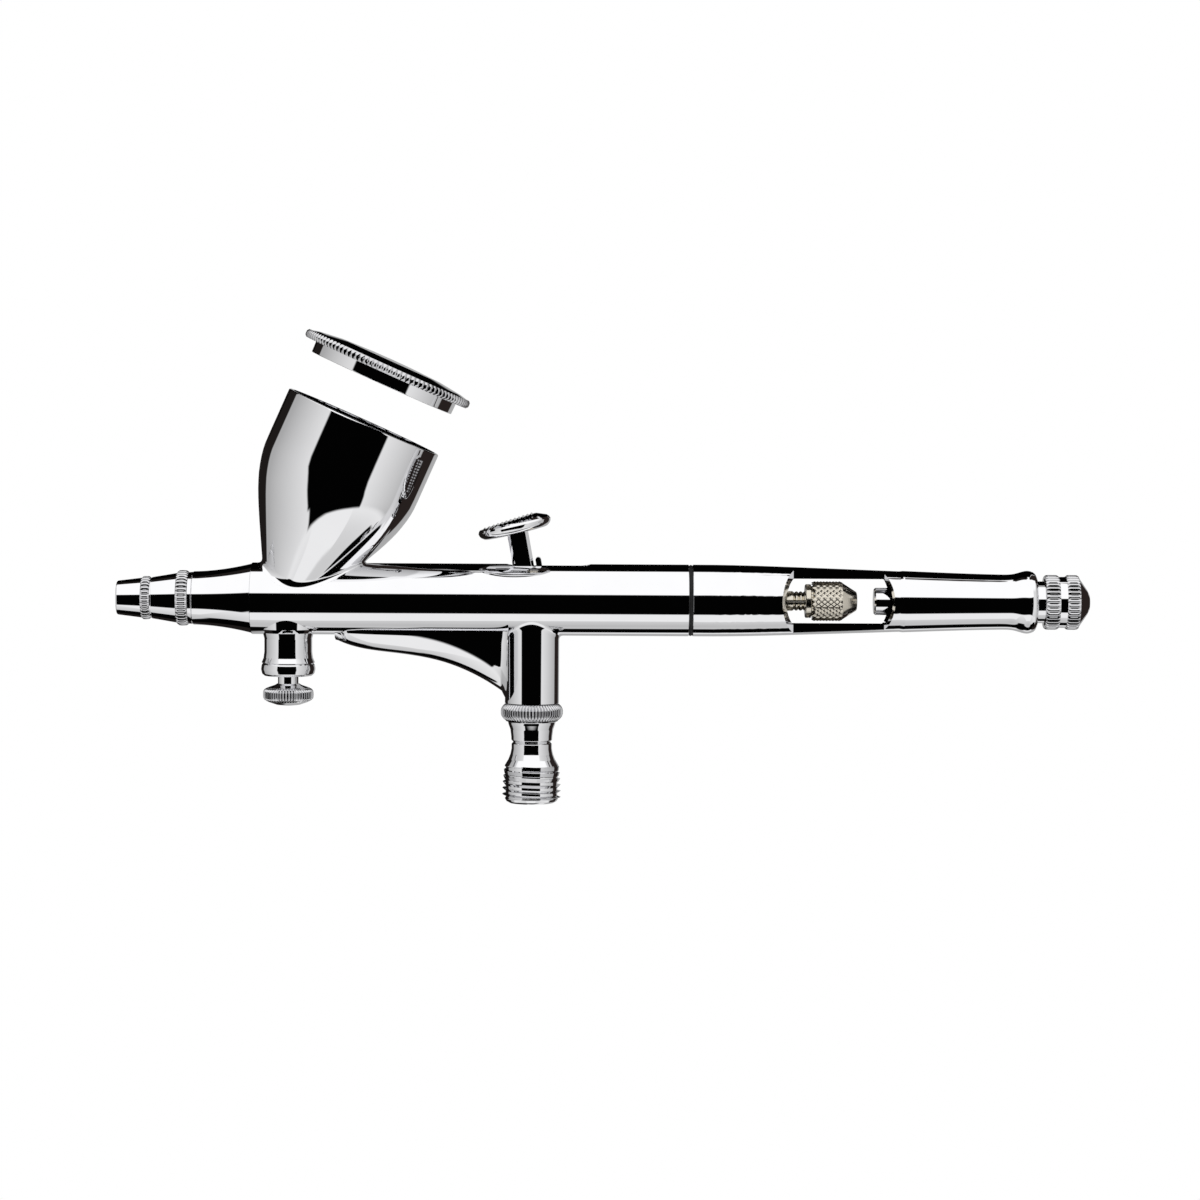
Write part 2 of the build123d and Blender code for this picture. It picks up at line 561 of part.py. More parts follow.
def valve_piston():
    """The air piston: a clevis for the trigger pin on a round stem with a groove for its ring."""
    top_z = PIVOT_Z + CLEVIS_RISE
    floor_z = PIVOT_Z - STEM_W / 2 - PIN_SEAT - 0.3
    head = Pos(0, 0, (top_z + CLEVIS_FOOT_Z) / 2) * Box(CLEVIS_T, 2 * CLEVIS_EAR_Y, top_z - CLEVIS_FOOT_Z)
    head -= Pos(0, 0, (top_z + floor_z) / 2) * Box(2 * CLEVIS_T, STEM_T + 0.2, top_z - floor_z)
    head -= rod_y(TRIGGER_PIN_R + PIN_SEAT, 2 * CLEVIS_EAR_Y, 0, PIVOT_Z)
    ring0, ring1 = O_RING_Z - O_RING_GROOVE_HALF, O_RING_Z + O_RING_GROOVE_HALF
    stem = turned_z([(PISTON_R - 0.2, PISTON_END_Z), (PISTON_R, PISTON_END_Z + 0.2), (PISTON_R, ring0),
                     (O_RING_GROOVE_R, ring0), (O_RING_GROOVE_R, ring1), (PISTON_R, ring1),
                     (PISTON_R, CLEVIS_FOOT_Z + 0.8)])
    return head + stem


def piston_o_ring():
    return ring_z(PISTON_R - O_RING_WIRE_R, O_RING_WIRE_R, O_RING_Z)


def lever_x(z):
    """Middle of the lever at height z; it leans like the trigger's stem."""
    return LEVER_TOP_X + (LEVER_TOP_Z - z) * math.tan(math.radians(TRIGGER_LEAN))


def lever_pin_x():
    return lever_x(LEVER_PIN_Z) + LEVER_BOSS_BACK


def aux_lever():
    """The small rocker behind the trigger: rounded top, pin hole, forked over the needle."""
    length = (LEVER_TOP_Z - LEVER_TOE_Z) / math.cos(math.radians(TRIGGER_LEAN))
    half_t = LEVER_T / 2
    blade = Pos(0, 0, -length / 2) * Box(LEVER_T, LEVER_W, length - 2 * half_t)
    blade += rod_y(half_t, LEVER_W / 2, 0, -half_t) + rod_y(half_t, LEVER_W / 2, 0, -length + half_t)
    lever = Pos(LEVER_TOP_X, 0, LEVER_TOP_Z) * Rot(0, -TRIGGER_LEAN, 0) * blade
    lever += rod_y(LEVER_PIN_R + LEVER_BOSS_WALL, LEVER_W / 2, lever_pin_x(), LEVER_PIN_Z)
    lever -= rod_y(LEVER_PIN_R + RUN_CLR, LEVER_W, lever_pin_x(), LEVER_PIN_Z)
    # open fork over the needle, round at its top
    way_r = NEEDLE_R + LEVER_NEEDLE_CLR
    reach = 4 * LEVER_W
    needle_way = Pos(0, 0, LEVER_TOE_Z) * Box(reach, 2 * way_r, -2 * LEVER_TOE_Z)
    return lever - (needle_way + rod_x(way_r, -reach / 2, reach / 2))


def lever_pin():
    half = math.sqrt((CHAMBER_R - RUN_CLR) ** 2 - (LEVER_PIN_Z + LEVER_PIN_R) ** 2)
    return rod_y(LEVER_PIN_R, half, lever_pin_x(), LEVER_PIN_Z)


# ---- needle carriage ---------------------------------------------------------------------------------
def spring_guide():
    """The needle carriage: head with a fork for the lever, tube, threaded and slit tail."""
    x1 = GUIDE_HEAD_X + GUIDE_HEAD_LEN
    guide = rod_x(CHAMBER_R - RUN_CLR, GUIDE_HEAD_X, x1)
    ears = Pos((FORK_FRONT_X + x1) / 2, 0, LEVER_PIN_Z) * Box(x1 - FORK_FRONT_X, 2 * FORK_OUT_Y, FORK_H)
    gap = Box(2 * (GUIDE_HEAD_X - FORK_FRONT_X), 2 * FORK_IN_Y, 2 * FORK_H)
    ears -= Pos(FORK_FRONT_X, 0, LEVER_PIN_Z) * gap
    guide += ears & rod_x(CHAMBER_R - RUN_CLR, FORK_FRONT_X, x1)
    guide -= rod_y(LEVER_PIN_R + PIN_SEAT, CHAMBER_R, lever_pin_x(), LEVER_PIN_Z)
    guide += rod_x(GUIDE_TUBE_R, x1, GUIDE_THREAD_X)
    guide += rod_x(GUIDE_THREAD_R, GUIDE_THREAD_X, GUIDE_END_X)
    for i in range(GUIDE_THREAD_CRESTS):
        x = GUIDE_THREAD_X + (i + 0.5) * GUIDE_THREAD_PITCH
        root, half = GUIDE_THREAD_R - GUIDE_THREAD_DEPTH, 0.35 * GUIDE_THREAD_PITCH
        waist = turned_x([(x - half, GUIDE_THREAD_R), (x, root), (x + half, GUIDE_THREAD_R)])
        guide -= rod_x(2 * GUIDE_THREAD_R, x - half, x + half) - waist
    guide -= rod_x(NEEDLE_R + SEAT_CLR, 0, GUIDE_END_X + 1)
    slit = 2 * (GUIDE_END_X - GUIDE_THREAD_X + GUIDE_SLIT_RUN)
    guide -= Pos(GUIDE_END_X, 0, 0) * Box(slit, 4 * GUIDE_TUBE_R, GUIDE_SLOT_W)
    return guide


def needle_spring():
    """The needle spring between the carriage's head and the spring case's end wall."""
    x0 = GUIDE_HEAD_X + GUIDE_HEAD_LEN
    length = CASE_REAR_X - CASE_END_T - x0
    return Pos(x0, 0, 0) * Rot(0, 90, 0) * coil(SPRING_MEAN_R, SPRING_WIRE_R, length, SPRING_TURNS)


def spring_case():
    """The tube screwed into the barrel's rear; its shoulder meets the barrel, its rear takes the handle."""
    case = turned_x([(CASE_FRONT_X, REAR_BORE_R - SEAT_CLR), (CASE_SHOULDER_X, REAR_BORE_R - SEAT_CLR),
                     (CASE_SHOULDER_X, CASE_REAR_R), (CASE_THREAD_REAR_X, CASE_REAR_R),
                     (CASE_THREAD_REAR_X, CASE_NOSE_R), (CASE_REAR_X, CASE_NOSE_R)])
    case -= rod_x(CASE_BORE_R, CASE_FRONT_X, CASE_REAR_X - CASE_END_T)
    return case - rod_x(GUIDE_TUBE_R + RUN_CLR, CASE_FRONT_X, CASE_REAR_X)


def chuck_nut():
    """The knurled nut that closes the slit tail on the needle."""
    grip0 = NUT_FRONT_X + NUT_COLLAR_LEN
    grip1 = grip0 + NUT_GRIP_LEN
    nut = turned_x([(NUT_FRONT_X, NUT_COLLAR_R - 0.15), (NUT_FRONT_X + 0.15, NUT_COLLAR_R),
                    (grip0 - 0.1, NUT_COLLAR_R), (grip0, NUT_COLLAR_R - 0.25), (grip0 + 0.25, NUT_GRIP_R),
                    (grip1, NUT_GRIP_R), (grip1 + 0.25, NUT_CONE_R), (NUT_END_X, NUT_END_R)])
    nut -= rod_x(GUIDE_THREAD_R + RUN_CLR, NUT_FRONT_X, GUIDE_END_X + 0.2)
    return nut - rod_x(NEEDLE_R + RUN_CLR, NUT_FRONT_X, NUT_END_X)


# ---- handle ------------------------------------------------------------------------------------------
def handle():
    """The tapering handle shell with its two-sided window and the bead at its end."""
    c = SEAM_CHAMFER
    taper = [(BARREL_REAR_X + u * HANDLE_LEN, r * BARREL_R) for u, r in HANDLE_TAPER]
    shell = smooth_x([(BARREL_REAR_X, BARREL_R - c)], [(BARREL_REAR_X + c, BARREL_R), *taper],
                     [(HANDLE_END_X, 0.62 * BARREL_R)])
    shell -= rod_x(HANDLE_BORE_R, BARREL_REAR_X, WINDOW_X1 + 2.4)
    shell -= rod_x(HANDLE_REAR_BORE_R, WINDOW_X1, HANDLE_END_X)
    run = (BARREL_R + 1 - WINDOW_FLAT_Y) * math.tan(math.radians(WINDOW_SLANT))
    for side in (1, -1):
        flat, top = side * WINDOW_FLAT_Y, side * (BARREL_R + 1)
        cut = make_face(Polyline((WINDOW_X0, flat), (WINDOW_X1, flat), (WINDOW_X1 + run, top),
                                 (WINDOW_X0 - run, top), close=True))
        shell -= extrude(cut, 2 * BARREL_R, both=True)
    return shell


def preset_rod_face_x():
    return NUT_END_X + NEEDLE_TRAVEL + PRESET_CLR


def preset_rod():
    """The stop screw: rod, threaded shank, visible neck and the tail that carries the knob."""
    neck = HANDLE_END_X + RUN_CLR
    knob = HANDLE_END_X + PRESET_NECK_LEN
    face = preset_rod_face_x()
    shank_r = HANDLE_REAR_BORE_R - RUN_CLR
    return turned_x([(face, PRESET_ROD_R - 0.25), (face + 0.25, PRESET_ROD_R),
                     (PRESET_THREAD_X, PRESET_ROD_R), (PRESET_THREAD_X, shank_r), (neck, shank_r),
                     (neck, PRESET_NECK_R), (knob, PRESET_NECK_R), (knob, PRESET_TAIL_R),
                     (knob + PRESET_TAIL_LEN, PRESET_TAIL_R)])


def preset_o_ring():
    """The rubber ring that keeps the stop screw where it is set."""
    wire = (HANDLE_REAR_BORE_R - PRESET_ROD_R) / 2
    return Pos(PRESET_THREAD_X - 1.5, 0, 0) * Rot(0, 90, 0) * Torus(PRESET_ROD_R + wire, wire - SEAT_CLR)


def preset_knob():
    """The fluted knob with its pointed end."""
    x0 = HANDLE_END_X + PRESET_NECK_LEN
    x1 = x0 + KNOB_GRIP_LEN
    groove0 = x0 + (KNOB_GRIP_LEN - KNOB_GROOVE_W) / 2
    groove1 = groove0 + KNOB_GROOVE_W
    tip = x1 + KNOB_TIP_LEN
    knob = turned_x([(x0, KNOB_R - 0.3), (x0 + 0.3, KNOB_R), (groove0, KNOB_R), (groove0, KNOB_GROOVE_R),
                     (groove1, KNOB_GROOVE_R), (groove1, KNOB_R), (x1 - 0.2, KNOB_R), (x1, KNOB_CONE_R),
                     (tip - 0.4, KNOB_TIP_R), (tip - 0.1, KNOB_TIP_R - 0.5), (tip, KNOB_TIP_R - 1.1)])
    knob -= rod_x(PRESET_TAIL_R + RUN_CLR, x0, x0 + PRESET_TAIL_LEN + 0.1)
    flute = Cylinder(KNOB_FLUTE_R, 2 * (x1 + 1))
    return knob - [Plane.YZ * spot * flute for spot in PolarLocations(KNOB_R, KNOB_FLUTES)]


# ---- valve -------------------------------------------------------------------------------------------
def valve_housing():
    """The knurled valve body under the tower, flaring down to the hose nipple."""
    top = TOWER_END_Z
    ring = top - HOUSING_KNURL_H
    shoulder_r = HOUSING_KNURL_R - 0.5
    body = turned_z([(HOUSING_SPIGOT_R, top + HOUSING_SPIGOT_LEN), (HOUSING_SPIGOT_R, top), (shoulder_r, top),
                     (HOUSING_KNURL_R, top - 0.5), (HOUSING_KNURL_R, ring + 0.5), (shoulder_r, ring),
                     (HOUSING_COLLAR_R, ring), (HOUSING_COLLAR_R, ring - 0.6),
                     (HOUSING_NECK_R + 0.2, ring - 1.4), (HOUSING_NECK_R, HOUSING_END_Z + 0.6),
                     (HOUSING_NECK_R, HOUSING_END_Z)])
    body -= rod_z(VALVE_CHAMBER_R, top + HOUSING_SPIGOT_LEN, VALVE_SEAT_Z + 1.0)
    body -= rod_z(VALVE_SEAT_R, 0, HOUSING_END_Z)
    return body - rod_z(NIPPLE_SPIGOT_R + SEAT_CLR, VALVE_SEAT_Z, HOUSING_END_Z)


def valve_seal():
    z0 = VALVE_SEAT_Z
    return rod_z(VALVE_HEAD_R, z0, z0 - VALVE_SEAL_T) - rod_z(VALVE_STEM_R, z0, z0 - VALVE_SEAL_T)


def air_valve():
    """The valve pin: its top meets the piston, its head holds the seal against the seat."""
    z0 = VALVE_SEAT_Z - VALVE_SEAL_T
    return rod_z(VALVE_STEM_R, PISTON_END_Z, z0) + rod_z(VALVE_HEAD_R, z0, z0 - VALVE_HEAD_T)


def valve_spring():
    top = VALVE_SEAT_Z - VALVE_SEAL_T - VALVE_HEAD_T
    return Pos(0, 0, VALVE_SCREW_Z) * coil(VALVE_SPRING_MEAN_R, VALVE_SPRING_WIRE_R, top - VALVE_SCREW_Z,
                                           VALVE_SPRING_TURNS)


def valve_screw():
    """The hollow screw that carries the valve spring in the nipple's bore."""
    screw = rod_z(NIPPLE_BORE_R - SEAT_CLR, VALVE_SCREW_Z, VALVE_SCREW_Z - VALVE_SCREW_H)
    screw -= rod_z(VALVE_SCREW_BORE_R, VALVE_SCREW_Z, VALVE_SCREW_Z - VALVE_SCREW_H)
    blade_slot = Box(4 * NIPPLE_BORE_R, BLADE_SLOT_W, VALVE_SCREW_H)
    return screw - Pos(0, 0, VALVE_SCREW_Z - VALVE_SCREW_H) * blade_slot


def hose_nipple():
    """The lower fitting: spigot, waisted neck and the hose thread as ridges with flat lands."""
    first = -BARREL_AXIS_Z + (THREAD_TURNS - 1) * THREAD_PITCH + THREAD_LAND
    foot_z = first + THREAD_PITCH
    neck = [(NIPPLE_SPIGOT_R, HOUSING_END_Z + NIPPLE_SPIGOT_LEN), (NIPPLE_SPIGOT_R, HOUSING_END_Z)]
    spread, drop = NIPPLE_FOOT_R - NIPPLE_NECK_R, foot_z - HOUSING_END_Z
    neck += [(NIPPLE_NECK_R + v * spread, HOUSING_END_Z + u * drop) for u, v in NIPPLE_FLARE]
    root = THREAD_CREST_R - THREAD_DEPTH
    flank = (THREAD_PITCH - THREAD_LAND) / 2 - 0.05
    ridges = []
    for i in range(THREAD_TURNS):
        z = first - i * THREAD_PITCH
        ridges += [(root, z + flank), (THREAD_CREST_R, z), (THREAD_CREST_R, z - THREAD_LAND),
                   (root, z - THREAD_LAND - flank)]
    end_z = -BARREL_AXIS_Z - NIPPLE_END_LEN
    nipple = turned_z(neck + ridges + [(root - 0.5, end_z)])
    return nipple - rod_z(NIPPLE_BORE_R, 0, end_z)


# ---- air control valve -------------------------------------------------------------------------------
def mac_seat_z():
    return MAC_FOOT_Z + MAC_COLLAR_H + 0.8


def mac_collar():
    z1 = MAC_FOOT_Z - MAC_COLLAR_H
    spigot_r = MAC_BORE_R - SEAT_CLR
    body = turned_z([(spigot_r, mac_seat_z()), (spigot_r, MAC_FOOT_Z), (MAC_COLLAR_R - 0.25, MAC_FOOT_Z),
                     (MAC_COLLAR_R, MAC_FOOT_Z - 0.25), (MAC_COLLAR_R, z1 + 0.35),
                     (MAC_COLLAR_R - 0.35, z1)], MAC_X)
    return body - rod_z(MAC_SHANK_R + RUN_CLR, 0, z1, MAC_X)


def mac_seal():
    z0 = mac_seat_z()
    ring = rod_z(MAC_BORE_R - SEAT_CLR, z0, z0 + MAC_SEAL_T, MAC_X)
    return ring - rod_z(MAC_PIN_R + RUN_CLR, z0, z0 + MAC_SEAL_T, MAC_X)


def mac_pin():
    """The control needle: pointed tip, shank and the tail that carries the knob."""
    tip = AIR_CHANNEL_Z - AIR_CHANNEL_R - 0.2
    step = mac_seat_z() - MAC_SEAL_T
    tail = MAC_KNOB_TOP_Z - MAC_TAIL_LEN
    return turned_z([(0.25, tip), (MAC_PIN_R, tip - 0.9), (MAC_PIN_R, step), (MAC_SHANK_R, step),
                     (MAC_SHANK_R, MAC_KNOB_TOP_Z), (MAC_TAIL_R, MAC_KNOB_TOP_Z), (MAC_TAIL_R, tail)], MAC_X)


def mac_knob():
    z = MAC_KNOB_TOP_Z
    knob = turned_z([(r * MAC_KNOB_R, z - h * MAC_KNOB_H) for r, h in MAC_KNOB_OUTLINE], MAC_X)
    return knob - rod_z(MAC_TAIL_R + RUN_CLR, z, z - MAC_TAIL_LEN - 0.1, MAC_X)


# ---- export ------------------------------------------------------------------------------------------
def export(name, shape):
    """Lifts a piece to its place over the hose thread and writes its file."""
    placed = Pos(0, 0, BARREL_AXIS_Z) * shape
    placed.label = name
    export_step(placed, os.path.join("parts", name + ".step"))


os.makedirs("parts", exist_ok=True)
PIECES = {
    "body_barrel": barrel, "paint_cup": paint_cup, "cup_lid": cup_lid, "spray_head": spray_head,
    "head_seal": head_seal, "nozzle": nozzle, "nozzle_cap": nozzle_cap, "needle_cap": needle_cap,
    "needle": needle, "needle_packing": needle_packing, "packing_screw": packing_screw, "trigger": 
    trigger, "trigger_pin": trigger_pin, "valve_piston": valve_piston, "piston_o_ring": 
    piston_o_ring, "aux_lever": aux_lever, "lever_pin": lever_pin, "spring_guide": spring_guide,
    "needle_spring": needle_spring, "spring_case": spring_case, "chuck_nut": chuck_nut, "handle": 
    handle, "preset_rod": preset_rod, "preset_o_ring": preset_o_ring, "preset_knob": preset_knob,
    "valve_housing": valve_housing, "air_valve": air_valve, "valve_seal": valve_seal,
    "valve_spring": valve_spring, "valve_screw": valve_screw, "hose_nipple": hose_nipple,
    "mac_collar": mac_collar, "mac_seal": mac_seal, "mac_pin": mac_pin, "mac_knob": mac_knob,
}
for piece_name, make in PIECES.items():
    export(piece_name, make())
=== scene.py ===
"""Looks of a gravity-feed, double-action airbrush gun in mirror chrome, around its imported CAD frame.

All sizes are in millimetres unless a name or docstring says otherwise. An outline is a row of
(station, radius) or (station, radius, corner radius) along the local +Z axis.
"""
import json
import logging
import math
from dataclasses import dataclass
from enum import Enum
from functools import cache
from typing import Any, Sequence

import bmesh
import bpy
from bmesh.types import BMesh, BMVert
from bpy.types import Material, Mesh, Node, NodeSocket, NodeTree, Object
from mathutils import Matrix, Vector
from mathutils.bvhtree import BVHTree


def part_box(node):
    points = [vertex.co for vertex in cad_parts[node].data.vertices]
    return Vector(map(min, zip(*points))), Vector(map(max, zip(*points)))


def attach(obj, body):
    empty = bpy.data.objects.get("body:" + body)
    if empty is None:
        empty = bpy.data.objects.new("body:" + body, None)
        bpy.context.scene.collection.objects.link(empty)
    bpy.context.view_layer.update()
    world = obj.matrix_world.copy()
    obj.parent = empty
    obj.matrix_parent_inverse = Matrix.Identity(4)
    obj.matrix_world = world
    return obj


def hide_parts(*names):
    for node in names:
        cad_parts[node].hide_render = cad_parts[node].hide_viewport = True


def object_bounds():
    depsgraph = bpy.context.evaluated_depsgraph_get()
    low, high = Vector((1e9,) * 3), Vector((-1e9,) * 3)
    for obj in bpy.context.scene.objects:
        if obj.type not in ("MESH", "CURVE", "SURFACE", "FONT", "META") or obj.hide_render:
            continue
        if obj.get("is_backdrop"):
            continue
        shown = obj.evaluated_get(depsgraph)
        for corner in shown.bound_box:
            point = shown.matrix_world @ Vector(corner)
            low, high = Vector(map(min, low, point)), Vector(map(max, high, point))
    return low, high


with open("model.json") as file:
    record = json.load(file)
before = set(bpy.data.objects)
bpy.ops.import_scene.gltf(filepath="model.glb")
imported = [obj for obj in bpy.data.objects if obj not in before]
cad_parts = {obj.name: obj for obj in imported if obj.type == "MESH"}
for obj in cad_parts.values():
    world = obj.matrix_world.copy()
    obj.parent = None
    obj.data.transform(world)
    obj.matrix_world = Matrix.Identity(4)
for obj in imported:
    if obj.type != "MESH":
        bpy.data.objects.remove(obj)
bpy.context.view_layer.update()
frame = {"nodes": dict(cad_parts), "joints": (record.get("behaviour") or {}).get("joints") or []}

LOG = logging.getLogger("airbrush")

MM = 0.001
TINY = 1e-6
AROUND = 160                    # faces around a turned piece
SHARP_ANGLE = math.radians(38)  # an edge sharper than this stays crisp
MOST_OF_SIDE = 0.49             # a rounded corner takes less than half of each side

Outline = Sequence[tuple[float, ...]]


# ---- places, from the frame ----
def middle(node: str) -> Vector:
    """The middle of a CAD node's box, in metres."""
    low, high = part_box(node)
    return (low + high) / 2


def span_mm(node: str, axis: int) -> tuple[float, float]:
    """The lowest and highest coordinate of a CAD node along one axis."""
    low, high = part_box(node)
    return low[axis] / MM, high[axis] / MM


def half_span(node: str, axis: int = 1) -> float:
    """Half the width of a CAD node along one axis."""
    low, high = span_mm(node, axis)
    return (high - low) / 2


SPRAY_AXIS_Z = middle("needle").z
CUP_AXIS = Vector(next(j["axis"] for j in frame["joints"] if j["name"] == "lid_lift")).normalized()
CUP_TILT = math.atan2(CUP_AXIS.x, CUP_AXIS.z)
BARREL_RADIUS = half_span("handle")


def along_spray(x_mm: float) -> Matrix:
    """A place on the spray axis at station x_mm, whose local +Z points along +X."""
    return Matrix.Translation((x_mm * MM, 0, SPRAY_AXIS_Z)) @ Matrix.Rotation(math.pi / 2, 4, "Y")


def upright(x_mm: float, z_mm: float) -> Matrix:
    """A place on a vertical axis at x_mm, at height z_mm."""
    return Matrix.Translation((x_mm * MM, 0, z_mm * MM))


def cup_place(lift_mm: float = 0.0) -> Matrix:
    """A place on the paint cup's axis.

    Args:
        lift_mm: Height above the rim's centre.

    Returns:
        The place as a matrix in metres, its +Z along the axis.
    """
    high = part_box("paint_cup")[1]
    radius = half_span("paint_cup") * MM
    rim = Vector((high.x - radius * math.cos(CUP_TILT), 0, high.z - radius * math.sin(CUP_TILT)))
    return Matrix.Translation(rim + CUP_AXIS * lift_mm * MM) @ Matrix.Rotation(CUP_TILT, 4, "Y")


# ---- node trees ----
def linear(hex_colour: str) -> tuple[float, float, float, float]:
    """Turns an sRGB colour into linear light.

    Args:
        hex_colour: The colour as six hex digits.

    Returns:
        Red, green and blue, and full alpha.
    """
    parts = [int(hex_colour.lstrip("#")[i:i + 2], 16) / 255 for i in (0, 2, 4)]
    r, g, b = (c / 12.92 if c <= 0.04045 else ((c + 0.055) / 1.055) ** 2.4 for c in parts)
    return r, g, b, 1.0


def add(tree: NodeTree, kind: str, inputs: dict[Any, Any] | None = None, **settings: Any) -> Node:
    """Adds one node.

    Args:
        tree: The tree it goes into.
        kind: The node's type.
        inputs: Input name or number to a value, or to an output socket, or to a node whose first output
            is linked to it.
        settings: The node's own settings.

    Returns:
        The new node.
    """
    node = tree.nodes.new(kind)
    for name, value in settings.items():
        setattr(node, name, value)
    for key, value in (inputs or {}).items():
        value = value.outputs[0] if isinstance(value, Node) else value
        if isinstance(value, NodeSocket):
            tree.links.new(value, node.inputs[key])
        else:
            node.inputs[key].default_value = value
    return node


def maths(tree: NodeTree, operation: str, *values: Any) -> Node:
    """Adds one arithmetic node."""
    return add(tree, "ShaderNodeMath", dict(enumerate(values)), operation=operation)


# ---- finishes ----
class Grain(Enum):
    """Which way the maker's tool marks run on a piece."""

    SPRAY_TURNED = (1.0, 0.06, 0.06)
    UPRIGHT_TURNED = (0.06, 0.06, 1.0)
    MOULDED = (1.0, 1.0, 1.0)


@dataclass(frozen=True)
class Finish:
    """A surface as the maker leaves it: base tint, its slow drift, gloss and the tool marks."""

    name: str
    tint: str
    tint_low: str
    metallic: float
    roughness: float
    roughness_low: float
    marks_mm: float
    marks_depth: float
    grain: Grain = Grain.MOULDED
    drift_mm: float = 6.0
    bump_mm: float = 0.02

    def build(self) -> Material:
        """Builds the procedural material, once per finish.

        Returns:
            The material.
        """
        known = bpy.data.materials.get(self.name)
        if known:
            return known
        material = bpy.data.materials.new(self.name)
        material.use_nodes = True
        tree = material.node_tree
        tree.nodes.clear()
        place = add(tree, "ShaderNodeTexCoord").outputs["Object"]
        slow = add(tree, "ShaderNodeTexNoise", {
            "Vector": place, "Scale": 1 / (self.drift_mm * MM), "Detail": 3.0})
        tone = add(tree, "ShaderNodeMix", {0: slow, 6: linear(self.tint_low), 7: linear(self.tint)},
                   data_type="RGBA")
        gloss = add(tree, "ShaderNodeMapRange", {
            "Value": slow, "From Min": 0.3, "From Max": 0.7, "To Min": self.roughness_low,
            "To Max": self.roughness})
        stretch = add(tree, "ShaderNodeMapping", {"Vector": place, "Scale": self.grain.value})
        marks = add(tree, "ShaderNodeTexNoise", {
            "Vector": stretch, "Scale": 1 / (self.marks_mm * MM), "Detail": 2.0})
        bump = add(tree, "ShaderNodeBump", {
            "Height": marks, "Strength": self.marks_depth, "Distance": self.bump_mm * MM})
        shader = add(tree, "ShaderNodeBsdfPrincipled", {
            "Base Color": tone.outputs[2], "Metallic": self.metallic, "Roughness": gloss,
            "Normal": bump})
        add(tree, "ShaderNodeOutputMaterial", {"Surface": shader})
        return material


# Bright chromium plate on buffed brass: a clear mirror with a faint blue-grey tone and only the last,
# softest buffing marks left.
CHROME = Finish("mirror_chrome_plate", "#F4F4F5", "#EEEEF0", 1.0, 0.022, 0.012, 0.9, 0.015)
# The same plate over cut teeth and threads, where buffing can't reach: a touch less clear, and tinted darker
# as painted shade for the deep valleys between the teeth.
CHROME_CUT = Finish("chrome_plate_over_knurling", "#E2E2E3", "#CFCFD2", 1.0, 0.05, 0.03, 0.35, 0.05)
# Electroless nickel on brass: warm grey, satin from the tumbler.
NICKEL = Finish("satin_nickel_plate", "#E3DDD0", "#CFC8BA", 1.0, 0.2, 0.13, 0.18, 0.2, Grain.SPRAY_TURNED)
# Drawn and centreless-ground stainless steel: fine rings round the needle.
STEEL = Finish("ground_stainless_steel", "#C9CACC", "#B4B5B8", 1.0, 0.20, 0.12, 0.10, 0.15,
               Grain.SPRAY_TURNED)
# Turned nickel silver of the fluid nozzle: yellowish grey with fine tool rings.
NICKEL_SILVER = Finish("turned_nickel_silver", "#CBC7BA", "#B8B3A4", 1.0, 0.24, 0.16, 0.12, 0.2,
                       Grain.SPRAY_TURNED)
# Bare turned brass: yellow with slightly browner tool rings.
BRASS = Finish("turned_brass", "#D9B56A", "#B98E45", 1.0, 0.28, 0.2, 0.12, 0.25, Grain.UPRIGHT_TURNED)
# Patented spring wire: dark grey with a drawn sheen.
SPRING_WIRE = Finish("drawn_spring_wire", "#8C8D90", "#6F7074", 1.0, 0.32, 0.24, 0.1, 0.2)
# Turned fluoropolymer: milky white and waxy.
FLUOROPOLYMER = Finish("turned_fluoropolymer", "#F1F0EC", "#E4E3DD", 0.0, 0.5, 0.38, 0.2, 0.2)
# The hairline between two screwed parts: painted shade in the seam, dull and almost black.
SEAM_PAINTED_SHADE = Finish("painted_shade_in_the_seam", "#0C0C0D", "#050506", 0.0, 0.7, 0.5, 0.2, 0.1)
# Moulded nitrile rubber: near black, dull.
NITRILE = Finish("moulded_nitrile_rubber", "#1B1B1C", "#121213", 0.0, 0.6, 0.48, 0.15, 0.4)


def dress(piece: Object, finish: Finish) -> None:
    """Gives a piece one finish in every material slot."""
    piece.data.materials.clear()
    piece.data.materials.append(finish.build())


def dress_nodes(finish: Finish, *nodes: str) -> None:
    """Gives CAD nodes one finish."""
    for node in nodes:
        dress(frame["nodes"][node], finish)


# ---- mesh making ----
def rounded(points: Outline, steps: int = 5) -> list[tuple[float, float]]:
    """Rounds the corners of an open outline.

    Args:
        points: The outline, with or without corner radii.
        steps: Straight pieces in each rounded corner.

    Returns:
        The outline's points with arcs in place of the rounded corners.
    """
    result: list[tuple[float, float]] = []
    for i, point in enumerate(points):
        here = Vector(point[:2])
        fillet = point[2] if len(point) > 2 else 0.0
        if fillet <= 0 or i in (0, len(points) - 1):
            result.append((here.x, here.y))
            continue
        back, ahead = Vector(points[i - 1][:2]) - here, Vector(points[i + 1][:2]) - here
        half = back.angle(ahead) / 2
        run = min(fillet / math.tan(half), back.length * MOST_OF_SIDE, ahead.length * MOST_OF_SIDE)
        start, end = here + back.normalized() * run, here + ahead.normalized() * run
        for k in range(steps + 1):
            t = k / steps
            at = start * (1 - t) ** 2 + here * 2 * t * (1 - t) + end * t ** 2
            result.append((at.x, at.y))
    return result


